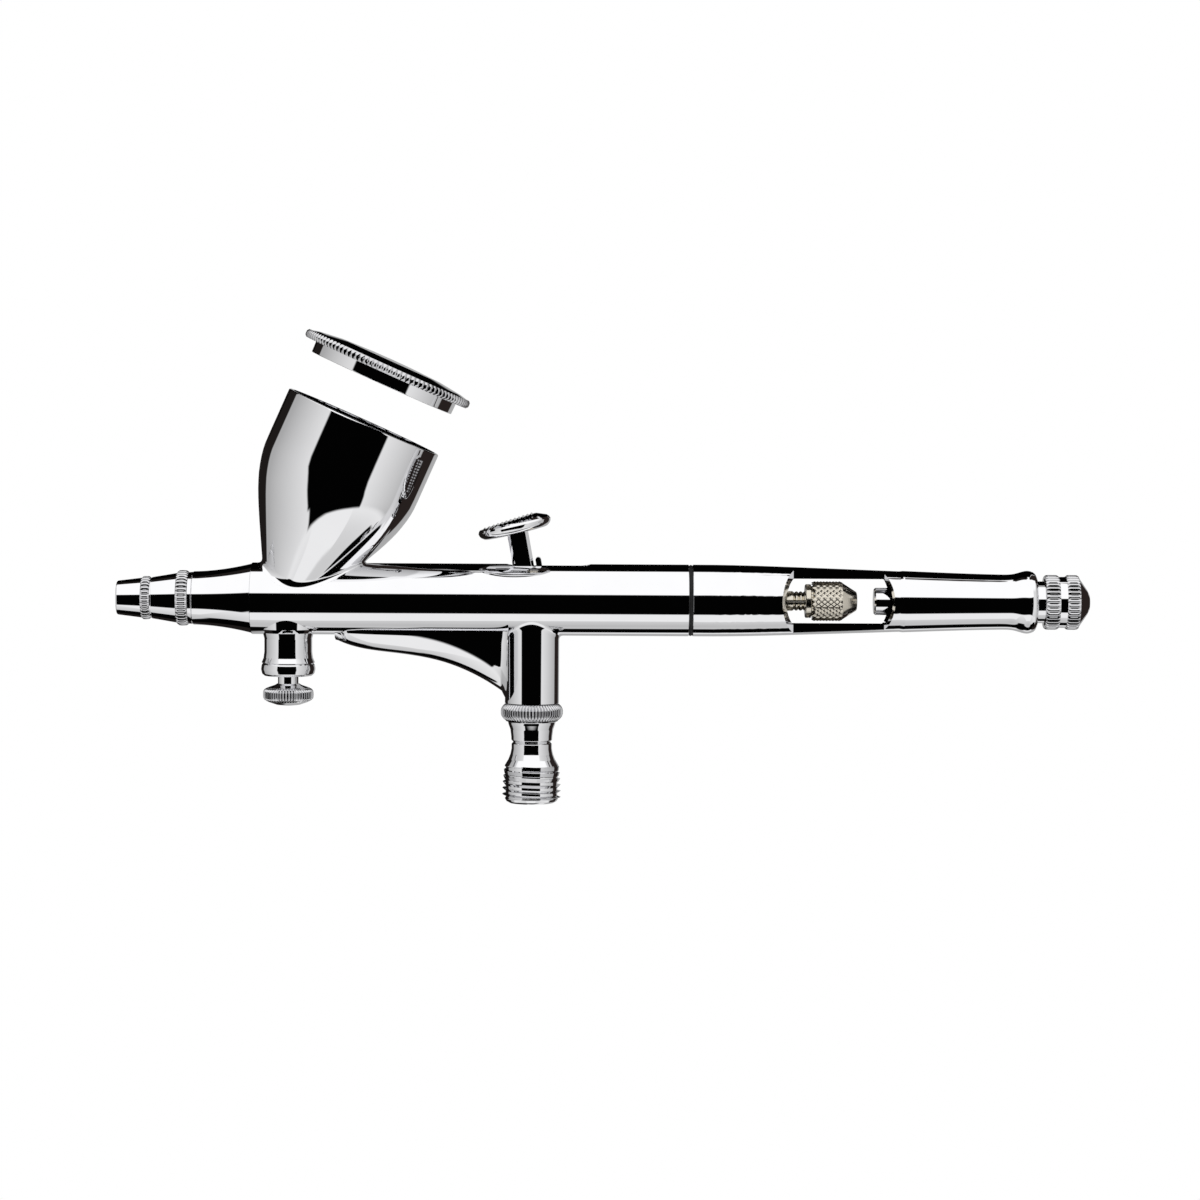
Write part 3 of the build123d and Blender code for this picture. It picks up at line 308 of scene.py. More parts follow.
def held(points: Sequence[tuple[float, float]], bend_deg: float = 6.0,
         hold: float = 0.05) -> list[tuple[float, float]]:
    """Adds a point close to each bend of an outline, so that smooth shading stays inside the bend.

    Args:
        points: (station, radius) of each point.
        bend_deg: The least bend that gets a point.
        hold: Distance of the added point from the bend.

    Returns:
        The outline with the added points.
    """
    spots = [Vector(p) for p in points]
    result = [points[0]]
    for i, (here, ahead) in enumerate(zip(spots, spots[1:])):
        run = ahead - here
        for bend, share in ((i, hold), (i + 1, run.length - hold)):
            inner = 0 < bend < len(spots) - 1
            if not inner or run.length < 4 * hold:
                continue
            first, second = spots[bend] - spots[bend - 1], spots[bend + 1] - spots[bend]
            if min(first.length, second.length) > TINY and first.angle(second) > math.radians(bend_deg):
                at = here + run.normalized() * share
                result.append((at.x, at.y))
        result.append((ahead.x, ahead.y))
    return result


def kept(work: BMesh, mesh: Mesh) -> Mesh:
    """Turns a worked mesh's normals outwards, keeps it and frees it.

    Args:
        work: The worked mesh.
        mesh: Where it is kept.

    Returns:
        The same mesh.
    """
    bmesh.ops.recalc_face_normals(work, faces=work.faces)
    work.to_mesh(mesh)
    work.free()
    return mesh


def finished(name: str, mesh: Mesh, *nodes: str, body: str = "gun_body", finish: Finish = CHROME,
             slot: str = "chrome", smooth: bool = True) -> None:
    """Links a mesh as a piece at the origin, dresses it and rides it on its body.

    Args:
        name: The piece's name.
        mesh: Its mesh.
        nodes: CAD nodes that it stands for.
        body: The CAD body that it moves with.
        finish: Its finish.
        slot: Not used.
        smooth: Whether the faces are shaded smooth up to the sharp angle; otherwise they are flat.
    """
    if smooth:
        mesh.shade_smooth()
        mesh.set_sharp_from_angle(angle=SHARP_ANGLE)
    else:
        mesh.shade_flat()
    piece = bpy.data.objects.new(name, mesh)
    bpy.context.scene.collection.objects.link(piece)
    dress(piece, finish)
    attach(piece, body)
    if nodes:
        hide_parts(*nodes)
    LOG.info("piece %s on %s, %d faces", name, body, len(mesh.polygons))


def turned(name: str, outline: Outline, place: Matrix, *nodes: str, around: int = AROUND,
           **seat: Any) -> None:
    """Turns an outline into a closed solid of revolution and seats it.

    Args:
        name: The piece's name.
        outline: An outline that starts and ends on the axis closes at its poles; any other closes on
            itself, round a bore.
        place: Where the local frame goes.
        nodes: CAD nodes that it stands for.
        around: Faces round the axis.
        seat: Body, finish and slot, as finished takes them.
    """
    points = held(rounded(outline))
    bored = points[0][1] > TINY
    work = bmesh.new()
    rings: list[list[BMVert]] = []
    for station, radius in points:
        if radius < TINY:
            rings.append([work.verts.new((0, 0, station * MM))])
            continue
        turns = [2 * math.pi * k / around for k in range(around)]
        rings.append([work.verts.new((radius * MM * math.cos(turn), radius * MM * math.sin(turn),
                                      station * MM)) for turn in turns])
    pairs = list(zip(rings, rings[1:])) + ([(rings[-1], rings[0])] if bored else [])
    for first, second in pairs:
        for k in range(around):
            j = (k + 1) % around
            corners = [first[k % len(first)], first[j % len(first)],
                       second[j % len(second)], second[k % len(second)]]
            corners = [v for n, v in enumerate(corners) if v not in corners[:n]]
            if len(corners) > 2:
                work.faces.new(corners)
    work.transform(place)
    finished(name, kept(work, bpy.data.meshes.new(name)), *nodes, **seat)


def shell(name: str, sections: Sequence[Sequence[Vector]], closed: bool) -> None:
    """Skins a row of equal closed sections into one chrome solid on the gun's body.

    Args:
        name: The piece's name.
        sections: Rings of points, in metres, each with the same number of points.
        closed: Whether the last section joins the first; otherwise both ends get a face.
    """
    work = bmesh.new()
    rows = [[work.verts.new(point) for point in section] for section in sections]
    pairs = list(zip(rows, rows[1:])) + ([(rows[-1], rows[0])] if closed else [])
    for first, second in pairs:
        for k in range(len(first)):
            j = (k + 1) % len(first)
            work.faces.new((first[k], first[j], second[j], second[k]))
    if not closed:
        work.faces.new(rows[0])
        work.faces.new(rows[-1])
    finished(name, kept(work, bpy.data.meshes.new(name)))


class Probe:
    """Measures a CAD node's surface with straight rays."""

    def __init__(self, node: str) -> None:
        """Prepares the node's mesh."""
        thing = frame["nodes"][node]
        place, mesh = thing.matrix_world.copy(), thing.data
        self.tree = BVHTree.FromPolygons([place @ v.co for v in mesh.vertices],
                                         [p.vertices for p in mesh.polygons])

    def hit(self, x: float, up: bool) -> Vector | None:
        """The first surface point met on the middle plane.

        Args:
            x: Station, in metres.
            up: Whether the ray comes from below and runs upwards.

        Returns:
            The point, or None where the ray meets nothing.
        """
        side = -1.0 if up else 1.0
        return self.tree.ray_cast(Vector((x, TINY, side)), Vector((0, 0, -side)))[0]


def foot_fillet(name: str, place: Matrix, radius: float, slope: float, reach: tuple[float, float],
                size: float) -> None:
    """Makes the soft concave corner where a round boss runs into the round barrel.

    Args:
        name: The piece's name.
        place: The boss's frame; local Z is its axis.
        radius: The boss's radius at local height 0.
        slope: Growth of that radius per unit of local height.
        reach: Local heights outside and inside the barrel between which they meet.
        size: The corner's size.
    """
    around, steps, halvings = 192, 7, 40
    sunk, root = 0.98, 0.5      # how far the foot lies on the barrel, and how deep the back is buried
    axis = Vector((0, 0, SPRAY_AXIS_Z / MM))

    def wall(ray: Vector, height: float) -> Vector:
        """The boss's surface along a local ray at a local height, from the spray axis's origin."""
        return (place @ ((ray * (radius + slope * height) + Vector((0, 0, height))) * MM)) / MM - axis

    sections = []
    for k in range(around):
        turn = 2 * math.pi * k / around
        ray = Vector((math.cos(turn), math.sin(turn), 0))
        outer, inner = reach
        for _ in range(halvings):
            half = (outer + inner) / 2
            spot = wall(ray, half)
            if math.hypot(spot.y, spot.z) > BARREL_RADIUS:
                outer = half
            else:
                inner = half
        meet = wall(ray, outer)
        up = (wall(ray, reach[0]) - meet).normalized()
        normal = Vector((0, meet.y, meet.z)).normalized()
        away = place.to_3x3() @ ray
        away = (away - normal * away.dot(normal)).normalized()
        top, foot = meet + up * size, meet + away * size
        foot += normal * (BARREL_RADIUS - math.hypot(foot.y, foot.z)) * sunk
        shares = [n / steps for n in range(steps + 1)]
        arc = [top * (1 - t) ** 2 + meet * 2 * t * (1 - t) + foot * t ** 2 for t in shares]
        sections.append([(point + axis) * MM for point in (*arc, meet - (normal + away) * root)])
    shell(name, sections, True)


# ---- repeats, by geometry nodes ----
SOCKETS = {int: "NodeSocketInt", float: "NodeSocketFloat", tuple: "NodeSocketVector"}


def started(name: str, sizes: dict[str, Any]) -> tuple[NodeTree, Any]:
    """Starts a geometry tree with named inputs, a Material input and a geometry output.

    Args:
        name: The tree's name.
        sizes: Input name to default value.

    Returns:
        The tree and its inputs' sockets by name.
    """
    tree = bpy.data.node_groups.new(name, "GeometryNodeTree")
    tree.interface.new_socket("Geometry", in_out="OUTPUT", socket_type="NodeSocketGeometry")
    for key, default in sizes.items():
        socket = tree.interface.new_socket(key, in_out="INPUT", socket_type=SOCKETS[type(default)])
        socket.default_value = default
    tree.interface.new_socket("Material", in_out="INPUT", socket_type="NodeSocketMaterial")
    return tree, tree.nodes.new("NodeGroupInput").outputs


def close_tree(tree: NodeTree, geometry: Node, material: NodeSocket) -> NodeTree:
    """Ends a geometry tree in Realize Instances and Set Material.

    Args:
        tree: The tree.
        geometry: The node that makes its result.
        material: The tree's material input.

    Returns:
        The same tree.
    """
    real = add(tree, "GeometryNodeRealizeInstances", {"Geometry": geometry})
    dressed = add(tree, "GeometryNodeSetMaterial", {"Geometry": real, "Material": material})
    add(tree, "NodeGroupOutput", {"Geometry": dressed})
    return tree


@cache
def knurl_tree() -> NodeTree:
    """Pointed teeth in rings round the local Z axis; the stagger turns the rings into diamonds."""
    tree, given = started("knurl_rings", {
        "Teeth": 36, "Ring Radius": 4 * MM, "Rows": 1, "Row Spacing": MM, "Stagger": 0.0,
        "Tooth": (MM, MM, MM), "Tooth Sides": 8, "Tooth Rings": 6})
    step = add(tree, "ShaderNodeCombineXYZ", {"Z": given["Row Spacing"]})
    rows = add(tree, "GeometryNodeMeshLine", {"Count": given["Rows"], "Offset": step})
    ring = add(tree, "GeometryNodeMeshCircle", {"Vertices": given["Teeth"], "Radius": given["Ring Radius"]})
    order = add(tree, "GeometryNodeInputIndex")
    turned_by = add(tree, "ShaderNodeCombineXYZ", {"Z": maths(tree, "MULTIPLY", order, given["Stagger"])})
    rings = add(tree, "GeometryNodeInstanceOnPoints", {
        "Points": rows, "Instance": ring, "Rotation": turned_by})
    spots = add(tree, "GeometryNodeRealizeInstances", {"Geometry": rings})
    where = add(tree, "GeometryNodeInputPosition")
    facing = add(tree, "ShaderNodeVectorMath", {0: where, 1: (1, 1, 0)}, operation="MULTIPLY")
    aim = add(tree, "FunctionNodeAlignRotationToVector", {"Vector": facing}, axis="X",
              pivot_axis="Z")
    tooth = add(tree, "GeometryNodeMeshUVSphere", {
        "Segments": given["Tooth Sides"], "Rings": given["Tooth Rings"], "Radius": 1.0})
    teeth = add(tree, "GeometryNodeInstanceOnPoints", {
        "Points": spots, "Instance": tooth, "Rotation": aim,
        "Scale": given["Tooth"]})
    return close_tree(tree, teeth, given["Material"])


@cache
def band_tree() -> NodeTree:
    """A closed knurled ring round the local Z axis: straight ribs, domed towards both ends."""
    tree, given = started("knurled_band", {
        "Teeth": 36, "Steps Per Tooth": 8, "Rows": 5, "Outer Radius": 4 * MM, "Wall": MM, "Height": 2 * MM,
        "Crown": 0.2 * MM, "Crown Power": 4.0, "Depth": 0.3 * MM, "Sharpness": 1.0, "Run Out": 0.1})

    def of(operation: str, *values: Any) -> Node:
        """One arithmetic node of this tree."""
        return maths(tree, operation, *values)

    steps = of("MULTIPLY", given["Teeth"], given["Steps Per Tooth"])
    middle_radius = of("MULTIPLY_ADD", given["Wall"], -0.5, given["Outer Radius"])
    path = add(tree, "GeometryNodeCurvePrimitiveCircle", {"Resolution": steps, "Radius": middle_radius})
    section = add(tree, "GeometryNodeCurvePrimitiveQuadrilateral", {
        "Width": given["Wall"], "Height": given["Height"]})
    cut = add(tree, "GeometryNodeSubdivideCurve", {"Curve": section, "Cuts": given["Rows"]})
    ring = add(tree, "GeometryNodeCurveToMesh", {"Curve": path, "Profile Curve": cut})
    here = add(tree, "GeometryNodeInputPosition")
    at = add(tree, "ShaderNodeSeparateXYZ", {0: here}).outputs
    out = of("SQRT", of("ADD", of("POWER", at["X"], 2.0), of("POWER", at["Y"], 2.0)))
    turn = of("ARCTAN2", at["Y"], at["X"])
    wave = of("ABSOLUTE", of("SINE", of("MULTIPLY", turn, of("MULTIPLY", given["Teeth"], 0.5))))
    valley = of("POWER", of("SUBTRACT", 1.0, wave), given["Sharpness"])
    share = of("DIVIDE", of("ABSOLUTE", at["Z"]), of("MULTIPLY", given["Height"], 0.5))
    end_fade = add(tree, "ShaderNodeMapRange", {
        "Value": share, "From Min": of("SUBTRACT", 1.0, given["Run Out"]), "From Max": 1.0, "To Min": 1.0,
        "To Max": 0.0}, interpolation_type="SMOOTHSTEP")
    groove = of("MULTIPLY", of("MULTIPLY", valley, given["Depth"]), end_fade)
    crown = of("MULTIPLY", of("POWER", share, given["Crown Power"]), given["Crown"])
    outer = of("GREATER_THAN", out, middle_radius)
    new_out = of("SUBTRACT", out, of("MULTIPLY", of("ADD", groove, crown), outer))
    scale = of("DIVIDE", new_out, out)
    flat = add(tree, "ShaderNodeCombineXYZ", {"X": scale, "Y": scale, "Z": 1.0})
    moved = add(tree, "ShaderNodeVectorMath", {0: here, 1: flat}, operation="MULTIPLY")
    shaped = add(tree, "GeometryNodeSetPosition", {"Geometry": ring, "Position": moved})
    return close_tree(tree, shaped, given["Material"])


@cache
def thread_tree() -> NodeTree:
    """A right-hand screw thread: a ridge that follows a helix round the local Z axis."""
    tree, given = started("screw_thread", {
        "Turns": 5.0, "Pitch": MM, "Root Radius": 4 * MM, "Depth": 0.5 * MM, "Half Width": 0.4 * MM})
    helix = add(tree, "GeometryNodeCurveSpiral", {
        "Resolution": 96, "Rotations": given["Turns"], "Start Radius": given["Root Radius"],
        "End Radius": given["Root Radius"],
        "Height": maths(tree, "MULTIPLY", given["Turns"], given["Pitch"])})
    profile = add(tree, "GeometryNodeCurvePrimitiveCircle", {"Resolution": 4, "Radius": 1.0})
    size = add(tree, "ShaderNodeCombineXYZ", {"X": given["Depth"], "Y": given["Half Width"], "Z": 1.0})
    ridge = add(tree, "GeometryNodeTransform", {
        "Geometry": profile, "Scale": size})
    swept = add(tree, "GeometryNodeCurveToMesh", {
        "Curve": helix, "Profile Curve": ridge, "Fill Caps": True})
    return close_tree(tree, swept, given["Material"])


@cache
def serration_tree() -> NodeTree:
    """Grip ridges across a round pad, each as long as the pad is wide there."""
    tree, given = started("pad_serrations", {
        "Ridges": 12, "Pitch": MM, "First": -5 * MM, "Pad Radius": 6 * MM, "Ridge": 0.3 * MM})
    start = add(tree, "ShaderNodeCombineXYZ", {"X": given["First"]})
    step = add(tree, "ShaderNodeCombineXYZ", {"X": given["Pitch"]})
    spots = add(tree, "GeometryNodeMeshLine", {
        "Count": given["Ridges"], "Start Location": start, "Offset": step})
    where = add(tree, "ShaderNodeSeparateXYZ", {0: add(tree, "GeometryNodeInputPosition")})
    off_centre = maths(tree, "ABSOLUTE", maths(tree, "DIVIDE", where.outputs["X"], given["Pad Radius"]))
    rest = maths(tree, "SUBTRACT", 1.0, maths(tree, "POWER", off_centre, 2.0))
    length = maths(tree, "MULTIPLY", maths(tree, "SQRT", rest), given["Pad Radius"])
    bar = add(tree, "GeometryNodeMeshCylinder", {"Vertices": 4, "Radius": 1.0, "Depth": 2.0})
    lying = add(tree, "GeometryNodeTransform", {
        "Geometry": bar, "Rotation": (math.pi / 2, 0, 0)})
    size = add(tree, "ShaderNodeCombineXYZ", {"X": given["Ridge"], "Y": length, "Z": given["Ridge"]})
    bars = add(tree, "GeometryNodeInstanceOnPoints", {
        "Points": spots, "Instance": lying, "Scale": size})
    return close_tree(tree, bars, given["Material"])


def grown(name: str, tree: NodeTree, place: Matrix, finish: Finish, sizes: dict[str, Any],
          **seat: Any) -> None:
    """Runs a geometry tree, keeps its result as a plain mesh and seats it.

    Args:
        name: The piece's name.
        tree: The tree.
        place: Where the local frame goes.
        finish: Its finish.
        sizes: The tree's inputs.
        seat: Body, slot and smooth, as finished takes them.
    """
    seed = bpy.data.objects.new(name + "_seed", bpy.data.meshes.new(name + "_seed"))
    bpy.context.scene.collection.objects.link(seed)
    modifier = seed.modifiers.new("grow", "NODES")
    modifier.node_group = tree
    sockets = {item.name: item.identifier for item in tree.interface.items_tree if item.in_out == "INPUT"}
    for key, value in {**sizes, "Material": finish.build()}.items():
        modifier[sockets[key]] = value
    seed.update_tag()
    bpy.context.view_layer.update()
    mesh = bpy.data.meshes.new_from_object(seed.evaluated_get(bpy.context.evaluated_depsgraph_get()))
    bpy.data.objects.remove(seed)
    mesh.name = name
    mesh.transform(place)
    work = bmesh.new()
    work.from_mesh(mesh)
    finished(name, kept(work, mesh), finish=finish, **seat)


@dataclass(frozen=True)
class Band:
    """A straight-knurled ring.

    Attributes:
        teeth: Ribs round the ring.
        depth: Depth of the valleys.
        crown: How much the ring drops towards its ends.
        power: How late the drop comes; 2 is a barrel shape, 6 a rounded edge.
        wall: Radial thickness.
        sharpness: 1 for round ribs that touch, more for narrow valleys.
        run_out: Share of the half height over which the valleys fade.
        rows: Cuts along each side of the section.
        steps: Faces round one tooth.
    """

    teeth: int
    depth: float
    crown: float
    power: float
    wall: float
    sharpness: float = 1.0
    run_out: float = 0.1
    rows: int = 5
    steps: int = 8

    def build(self, name: str, place: Matrix, radius: float, height: float, body: str = "gun_body") -> None:
        """Makes the ring.

        Args:
            name: The piece's name.
            place: The ring's middle, axis along local +Z.
            radius: Radius over the ribs.
            height: Length along the axis.
            body: The CAD body that it moves with.
        """
        grown(name, band_tree(), place, CHROME_CUT, {
            "Teeth": self.teeth, "Steps Per Tooth": self.steps, "Rows": self.rows,
            "Outer Radius": radius * MM, "Wall": self.wall * MM, "Height": height * MM,
            "Crown": self.crown * MM, "Crown Power": self.power, "Depth": self.depth * MM,
            "Sharpness": self.sharpness, "Run Out": self.run_out},
            body=body, slot="chrome_knurl")


# ---- sub-assemblies ----
@dataclass
class FrontEnd:
    """Spray head, air cap and needle cap, with their knurled rings."""

    head_front: float = 4.42
    head_rear: float = 5.78
    head_swell: float = 1.8
    head_bore: float = 2.0
    seam_half_width: float = 0.08
    needle_bore: float = 2.1
    needle_lip: float = 2.82
    needle_waist: float = 3.3
    needle_ring: float = 3.58
    needle_seat: float = 2.62
    needle_teeth: Band = Band(28, 0.26, 0.26, 5.0, 0.8, sharpness=1.5)
    nozzle_spigot: float = 2.6
    nozzle_ring: float = 4.58
    nozzle_lip: float = 0.72
    nozzle_bore: float = 3.42
    nozzle_teeth: Band = Band(37, 0.27, 0.27, 5.0, 0.9, sharpness=1.4)

    def build(self) -> None:
        """Makes head and caps."""
        self.head()
        self.needle_cap()
        self.nozzle_cap()

    def head(self) -> None:
        """The flared head; its rear edge stops a hair below the barrel, which leaves the fine seam line."""
        front = span_mm("nozzle_cap", 0)[1]
        rear = span_mm("body_barrel", 0)[0]
        small, bore, stations = self.head_front, self.head_bore, 24
        length = rear - front
        flare = [(length * n / stations, small + (self.head_rear - small) * (n / stations) ** self.head_swell)
                 for n in range(1, stations + 1)]
        hidden = span_mm("spray_head", 0)[1] - front
        turned("spray_head_shell", [
            (0.0, bore), (0.0, small - 0.1), (0.1, small), *flare, (length, bore + 1.0), (hidden, bore + 1.0),
            (hidden, bore)], along_spray(front), "spray_head")
        half, inner = self.seam_half_width, 4.6
        turned("spray_head_seam_line", [
            (-half, inner), (-half, BARREL_RADIUS - 0.05), (half, BARREL_RADIUS - 0.02), (half, inner)],
            along_spray(rear), finish=STEEL)

    def needle_cap(self) -> None:
        """The tapered guard with a ribbed ring at its foot."""
        front, rear = span_mm("needle_cap", 0)
        bore, lip, waist, ring = self.needle_bore, self.needle_lip, self.needle_waist, self.needle_ring - 0.3
        length, seat_depth = rear - front, 4.9
        turned("needle_cap_shell", [
            (2.0, bore), (0.25, bore, 0.1), (0.0, bore + 0.25, 0.1), (0.0, lip - 0.12, 0.12),
            (0.2, lip, 0.12), (length - 1.72, waist, 0.05), (length - 1.7, ring), (length - 0.2, ring),
            (length - 0.18, waist + 0.02, 0.05), (length, waist), (length, self.needle_seat),
            (seat_depth, self.needle_seat), (seat_depth, bore)],
            along_spray(front), "needle_cap", slot="chrome_knurl")
        self.needle_teeth.build("needle_cap_knurl", along_spray(rear - 0.95), self.needle_ring, 1.5)

    def nozzle_cap(self) -> None:
        """The air cap: cone, ribbed ring and plain lip at the seam with the head."""
        front, rear = span_mm("nozzle_cap", 0)
        length, start = rear - front, span_mm("needle_cap", 0)[1] - front
        spigot, bore, groove = self.nozzle_spigot, self.nozzle_bore, 4.0
        ring0, ring1 = length - 2.6, length - self.nozzle_lip
        turned("nozzle_cap_shell", [
            (0.0, 0.9), (0.0, spigot, 0.1), (start, spigot), (start, 3.42, 0.08), (ring0 - 0.04, 4.12, 0.05),
            (ring0, groove), (ring1, groove), (ring1 + 0.02, 4.26, 0.08), (length - 0.1, 4.32, 0.08),
            (length, 4.22), (length, bore), (length - 2.4, bore), (length - 2.4, 3.0), (length - 4.7, 3.0),
            (0.9, 0.9)], along_spray(front), "nozzle_cap", slot="chrome_knurl")
        self.nozzle_teeth.build("nozzle_cap_knurl", along_spray(rear - (2.6 + self.nozzle_lip) / 2),
                                self.nozzle_ring, 1.86)


@dataclass
class PaintCup:
    """The tilted cup with its knurl-edged lid above it.

    Attributes:
        profile: Depth below the rim and radius of the cup's side, as shares of the rim's radius.
    """

    profile: tuple[tuple[float, float], ...] = (
        (0.0, 0.985), (0.006, 0.997), (0.018, 1.0), (0.37, 1.0), (0.62, 1.0), (0.74, 0.998),
        (0.81, 0.991), (0.90, 0.976), (1.0, 0.952), (1.09, 0.926), (1.18, 0.893), (1.28, 0.852),
        (1.38, 0.806), (1.48, 0.757), (1.58, 0.706), (1.68, 0.654), (1.80, 0.590), (1.95, 0.510),
        (2.10, 0.430), (2.25, 0.350))
    wall: float = 0.7
    lip: float = 0.96
    drain: float = 1.3
    drain_depths: tuple[float, float] = (1.98, 2.12)
    around: int = 192
    fillet: float = 0.9
    fillet_reach: tuple[float, float] = (1.2, 2.3)
    plug_radius: float = 12.6
    plug_depth: float = 1.9
    vent: float = 0.8
    edge_low: float = 0.95
    lid_teeth: Band = Band(108, 0.26, 0.3, 5.0, 1.2, rows=3, steps=6)

    def build(self) -> None:
        """Makes the cup and the lid."""
        self.cup()
        self.lid()

    def cup(self) -> None:
        """The spun cup: straight wall, soft shoulder and a cone that runs into the barrel."""
        rim = half_span("paint_cup")
        outside = [(-depth * rim, share * rim) for depth, share in self.profile]
        inside = [(-depth * rim, share * rim - self.wall) for depth, share in self.profile[1:-3]]
        drain0, drain1 = (-depth * rim for depth in self.drain_depths)
        outline = [(outside[-1][0], 0.0), *outside[::-1], (0.0, self.lip * rim), *inside,
                   (drain0, self.drain), (drain1, self.drain), (drain1, 0.0)]
        turned("paint_cup_bowl", outline, cup_place(), "paint_cup", around=self.around)
        (depth0, share0), (depth1, share1) = self.profile[-6], self.profile[-2]
        slope = (share0 - share1) / (depth1 - depth0)
        outer, inner = self.fillet_reach
        foot_fillet("paint_cup_foot", cup_place(), (share0 + slope * depth0) * rim, slope,
                    (-outer * rim, -inner * rim), self.fillet)

    def lid(self) -> None:
        """The flat domed lid with a beaded edge and a plug."""
        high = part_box("cup_lid")[1]
        radius = half_span("cup_lid")
        across = Vector((math.cos(CUP_TILT), 0, math.sin(CUP_TILT)))
        lid_edge = Vector((high.x, 0, high.z)) - across * radius * MM
        place = cup_place((lid_edge - cup_place().translation).dot(CUP_AXIS) / MM - self.edge_low)
        edge, vent, plug, low = radius - 0.3, self.vent, self.plug_radius, -self.plug_depth
        turned("cup_lid_disc", [
            (low, vent), (low, plug - 0.05, 0.12), (-0.02, plug, 0.04), (0.0, edge - 0.5, 0.1),
            (0.05, edge - 0.2, 0.1), (1.25, edge - 0.2, 0.1), (1.35, edge - 0.5, 0.2),
            (1.62, edge - 1.6, 0.8), (2.1, radius * 0.6, 3.0), (2.3, radius * 0.25, 2.0), (2.32, vent, 0.15)],
            place, "cup_lid", body="lid", slot="chrome_knurl")
        self.lid_teeth.build("cup_lid_knurl", place @ upright(0, 0.66), radius, 1.35, "lid")


@dataclass
class Trigger:
    """The finger trigger: round pad with serrations on a flat stem.

    Attributes:
        underside: Height and radius of the pad's underside and rim; the radius as a share of the pad's.
    """

    ridges: int = 12
    ridge_pitch: float = 0.73
    ridge: float = 0.36
    ridge_sunk: float = 0.45
    pad_margins: tuple[float, float] = (0.75, 0.25)
    tilt_deg: float = 13.5
    crest: float = 1.3
    soft: float = 1.2
    underside: Outline = ((-1.29, 0.0), (-1.29, 0.6), (-1.18, 0.865), (-0.6, 0.98), (0.0, 1.006))
    top: Outline = ((0.1, 1.0), (0.12, 0.0))

    def build(self) -> None:
        """Dresses the stem and the rocker and dresses the pad on both sides."""
        dress_nodes(CHROME, "trigger", "aux_lever")
        front_x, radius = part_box("trigger")[0].x, half_span("trigger") * MM
        pad = Probe("trigger")
        self.serrations(pad, front_x, radius)
        self.pad_underside(pad, front_x / MM, radius / MM)

    def serrations(self, pad: Probe, front_x: float, radius: float) -> None:
        """Lays the grip ridges on the pad's face, as it is found by two rays.

        Args:
            pad: Measures the trigger.
            front_x: The pad's front edge, in metres.
            radius: The pad's radius, in metres.
        """
        front, back = (pad.hit(front_x + share * radius, False) for share in (0.35, 1.1))
        run = (back - front).normalized()
        centre = front + run * (front_x + radius - front.x) / run.x
        sunk = Vector((-run.z, 0, run.x)) * self.ridge * MM * self.ridge_sunk
        place = Matrix.Translation(centre - sunk) @ Matrix.Rotation(-math.atan2(run.z, run.x), 4, "Y")
        first, side = self.pad_margins
        grown("trigger_serrations", serration_tree(), place, CHROME_CUT, {
            "Ridges": self.ridges, "Pitch": self.ridge_pitch * MM, "First": -radius + first * MM,
            "Pad Radius": radius - side * MM, "Ridge": self.ridge * MM},
            body="trigger", slot="chrome_knurl", smooth=False)

    def pad_underside(self, pad: Probe, front_x: float, radius: float) -> None:
        """The pad's full, smooth underside and rim.

        Args:
            pad: Measures the trigger.
            front_x: The pad's front edge.
            radius: The pad's radius.
        """
        tilt = math.radians(self.tilt_deg)
        crest_x, crest_z = 0.6 * radius, self.crest
        centre_x = front_x + radius * math.cos(tilt)
        face = pad.hit((centre_x + crest_x * math.cos(tilt) - crest_z * math.sin(tilt)) * MM, False)
        centre_z = face.z / MM - crest_x * math.sin(tilt) - crest_z * math.cos(tilt)
        outline = [(z, share * radius, self.soft) for z, share in self.underside]
        outline += [(z, share * radius) for z, share in self.top]
        turned("trigger_pad_underside", outline,
                       upright(centre_x, centre_z) @ Matrix.Rotation(-tilt, 4, "Y"), body="trigger")


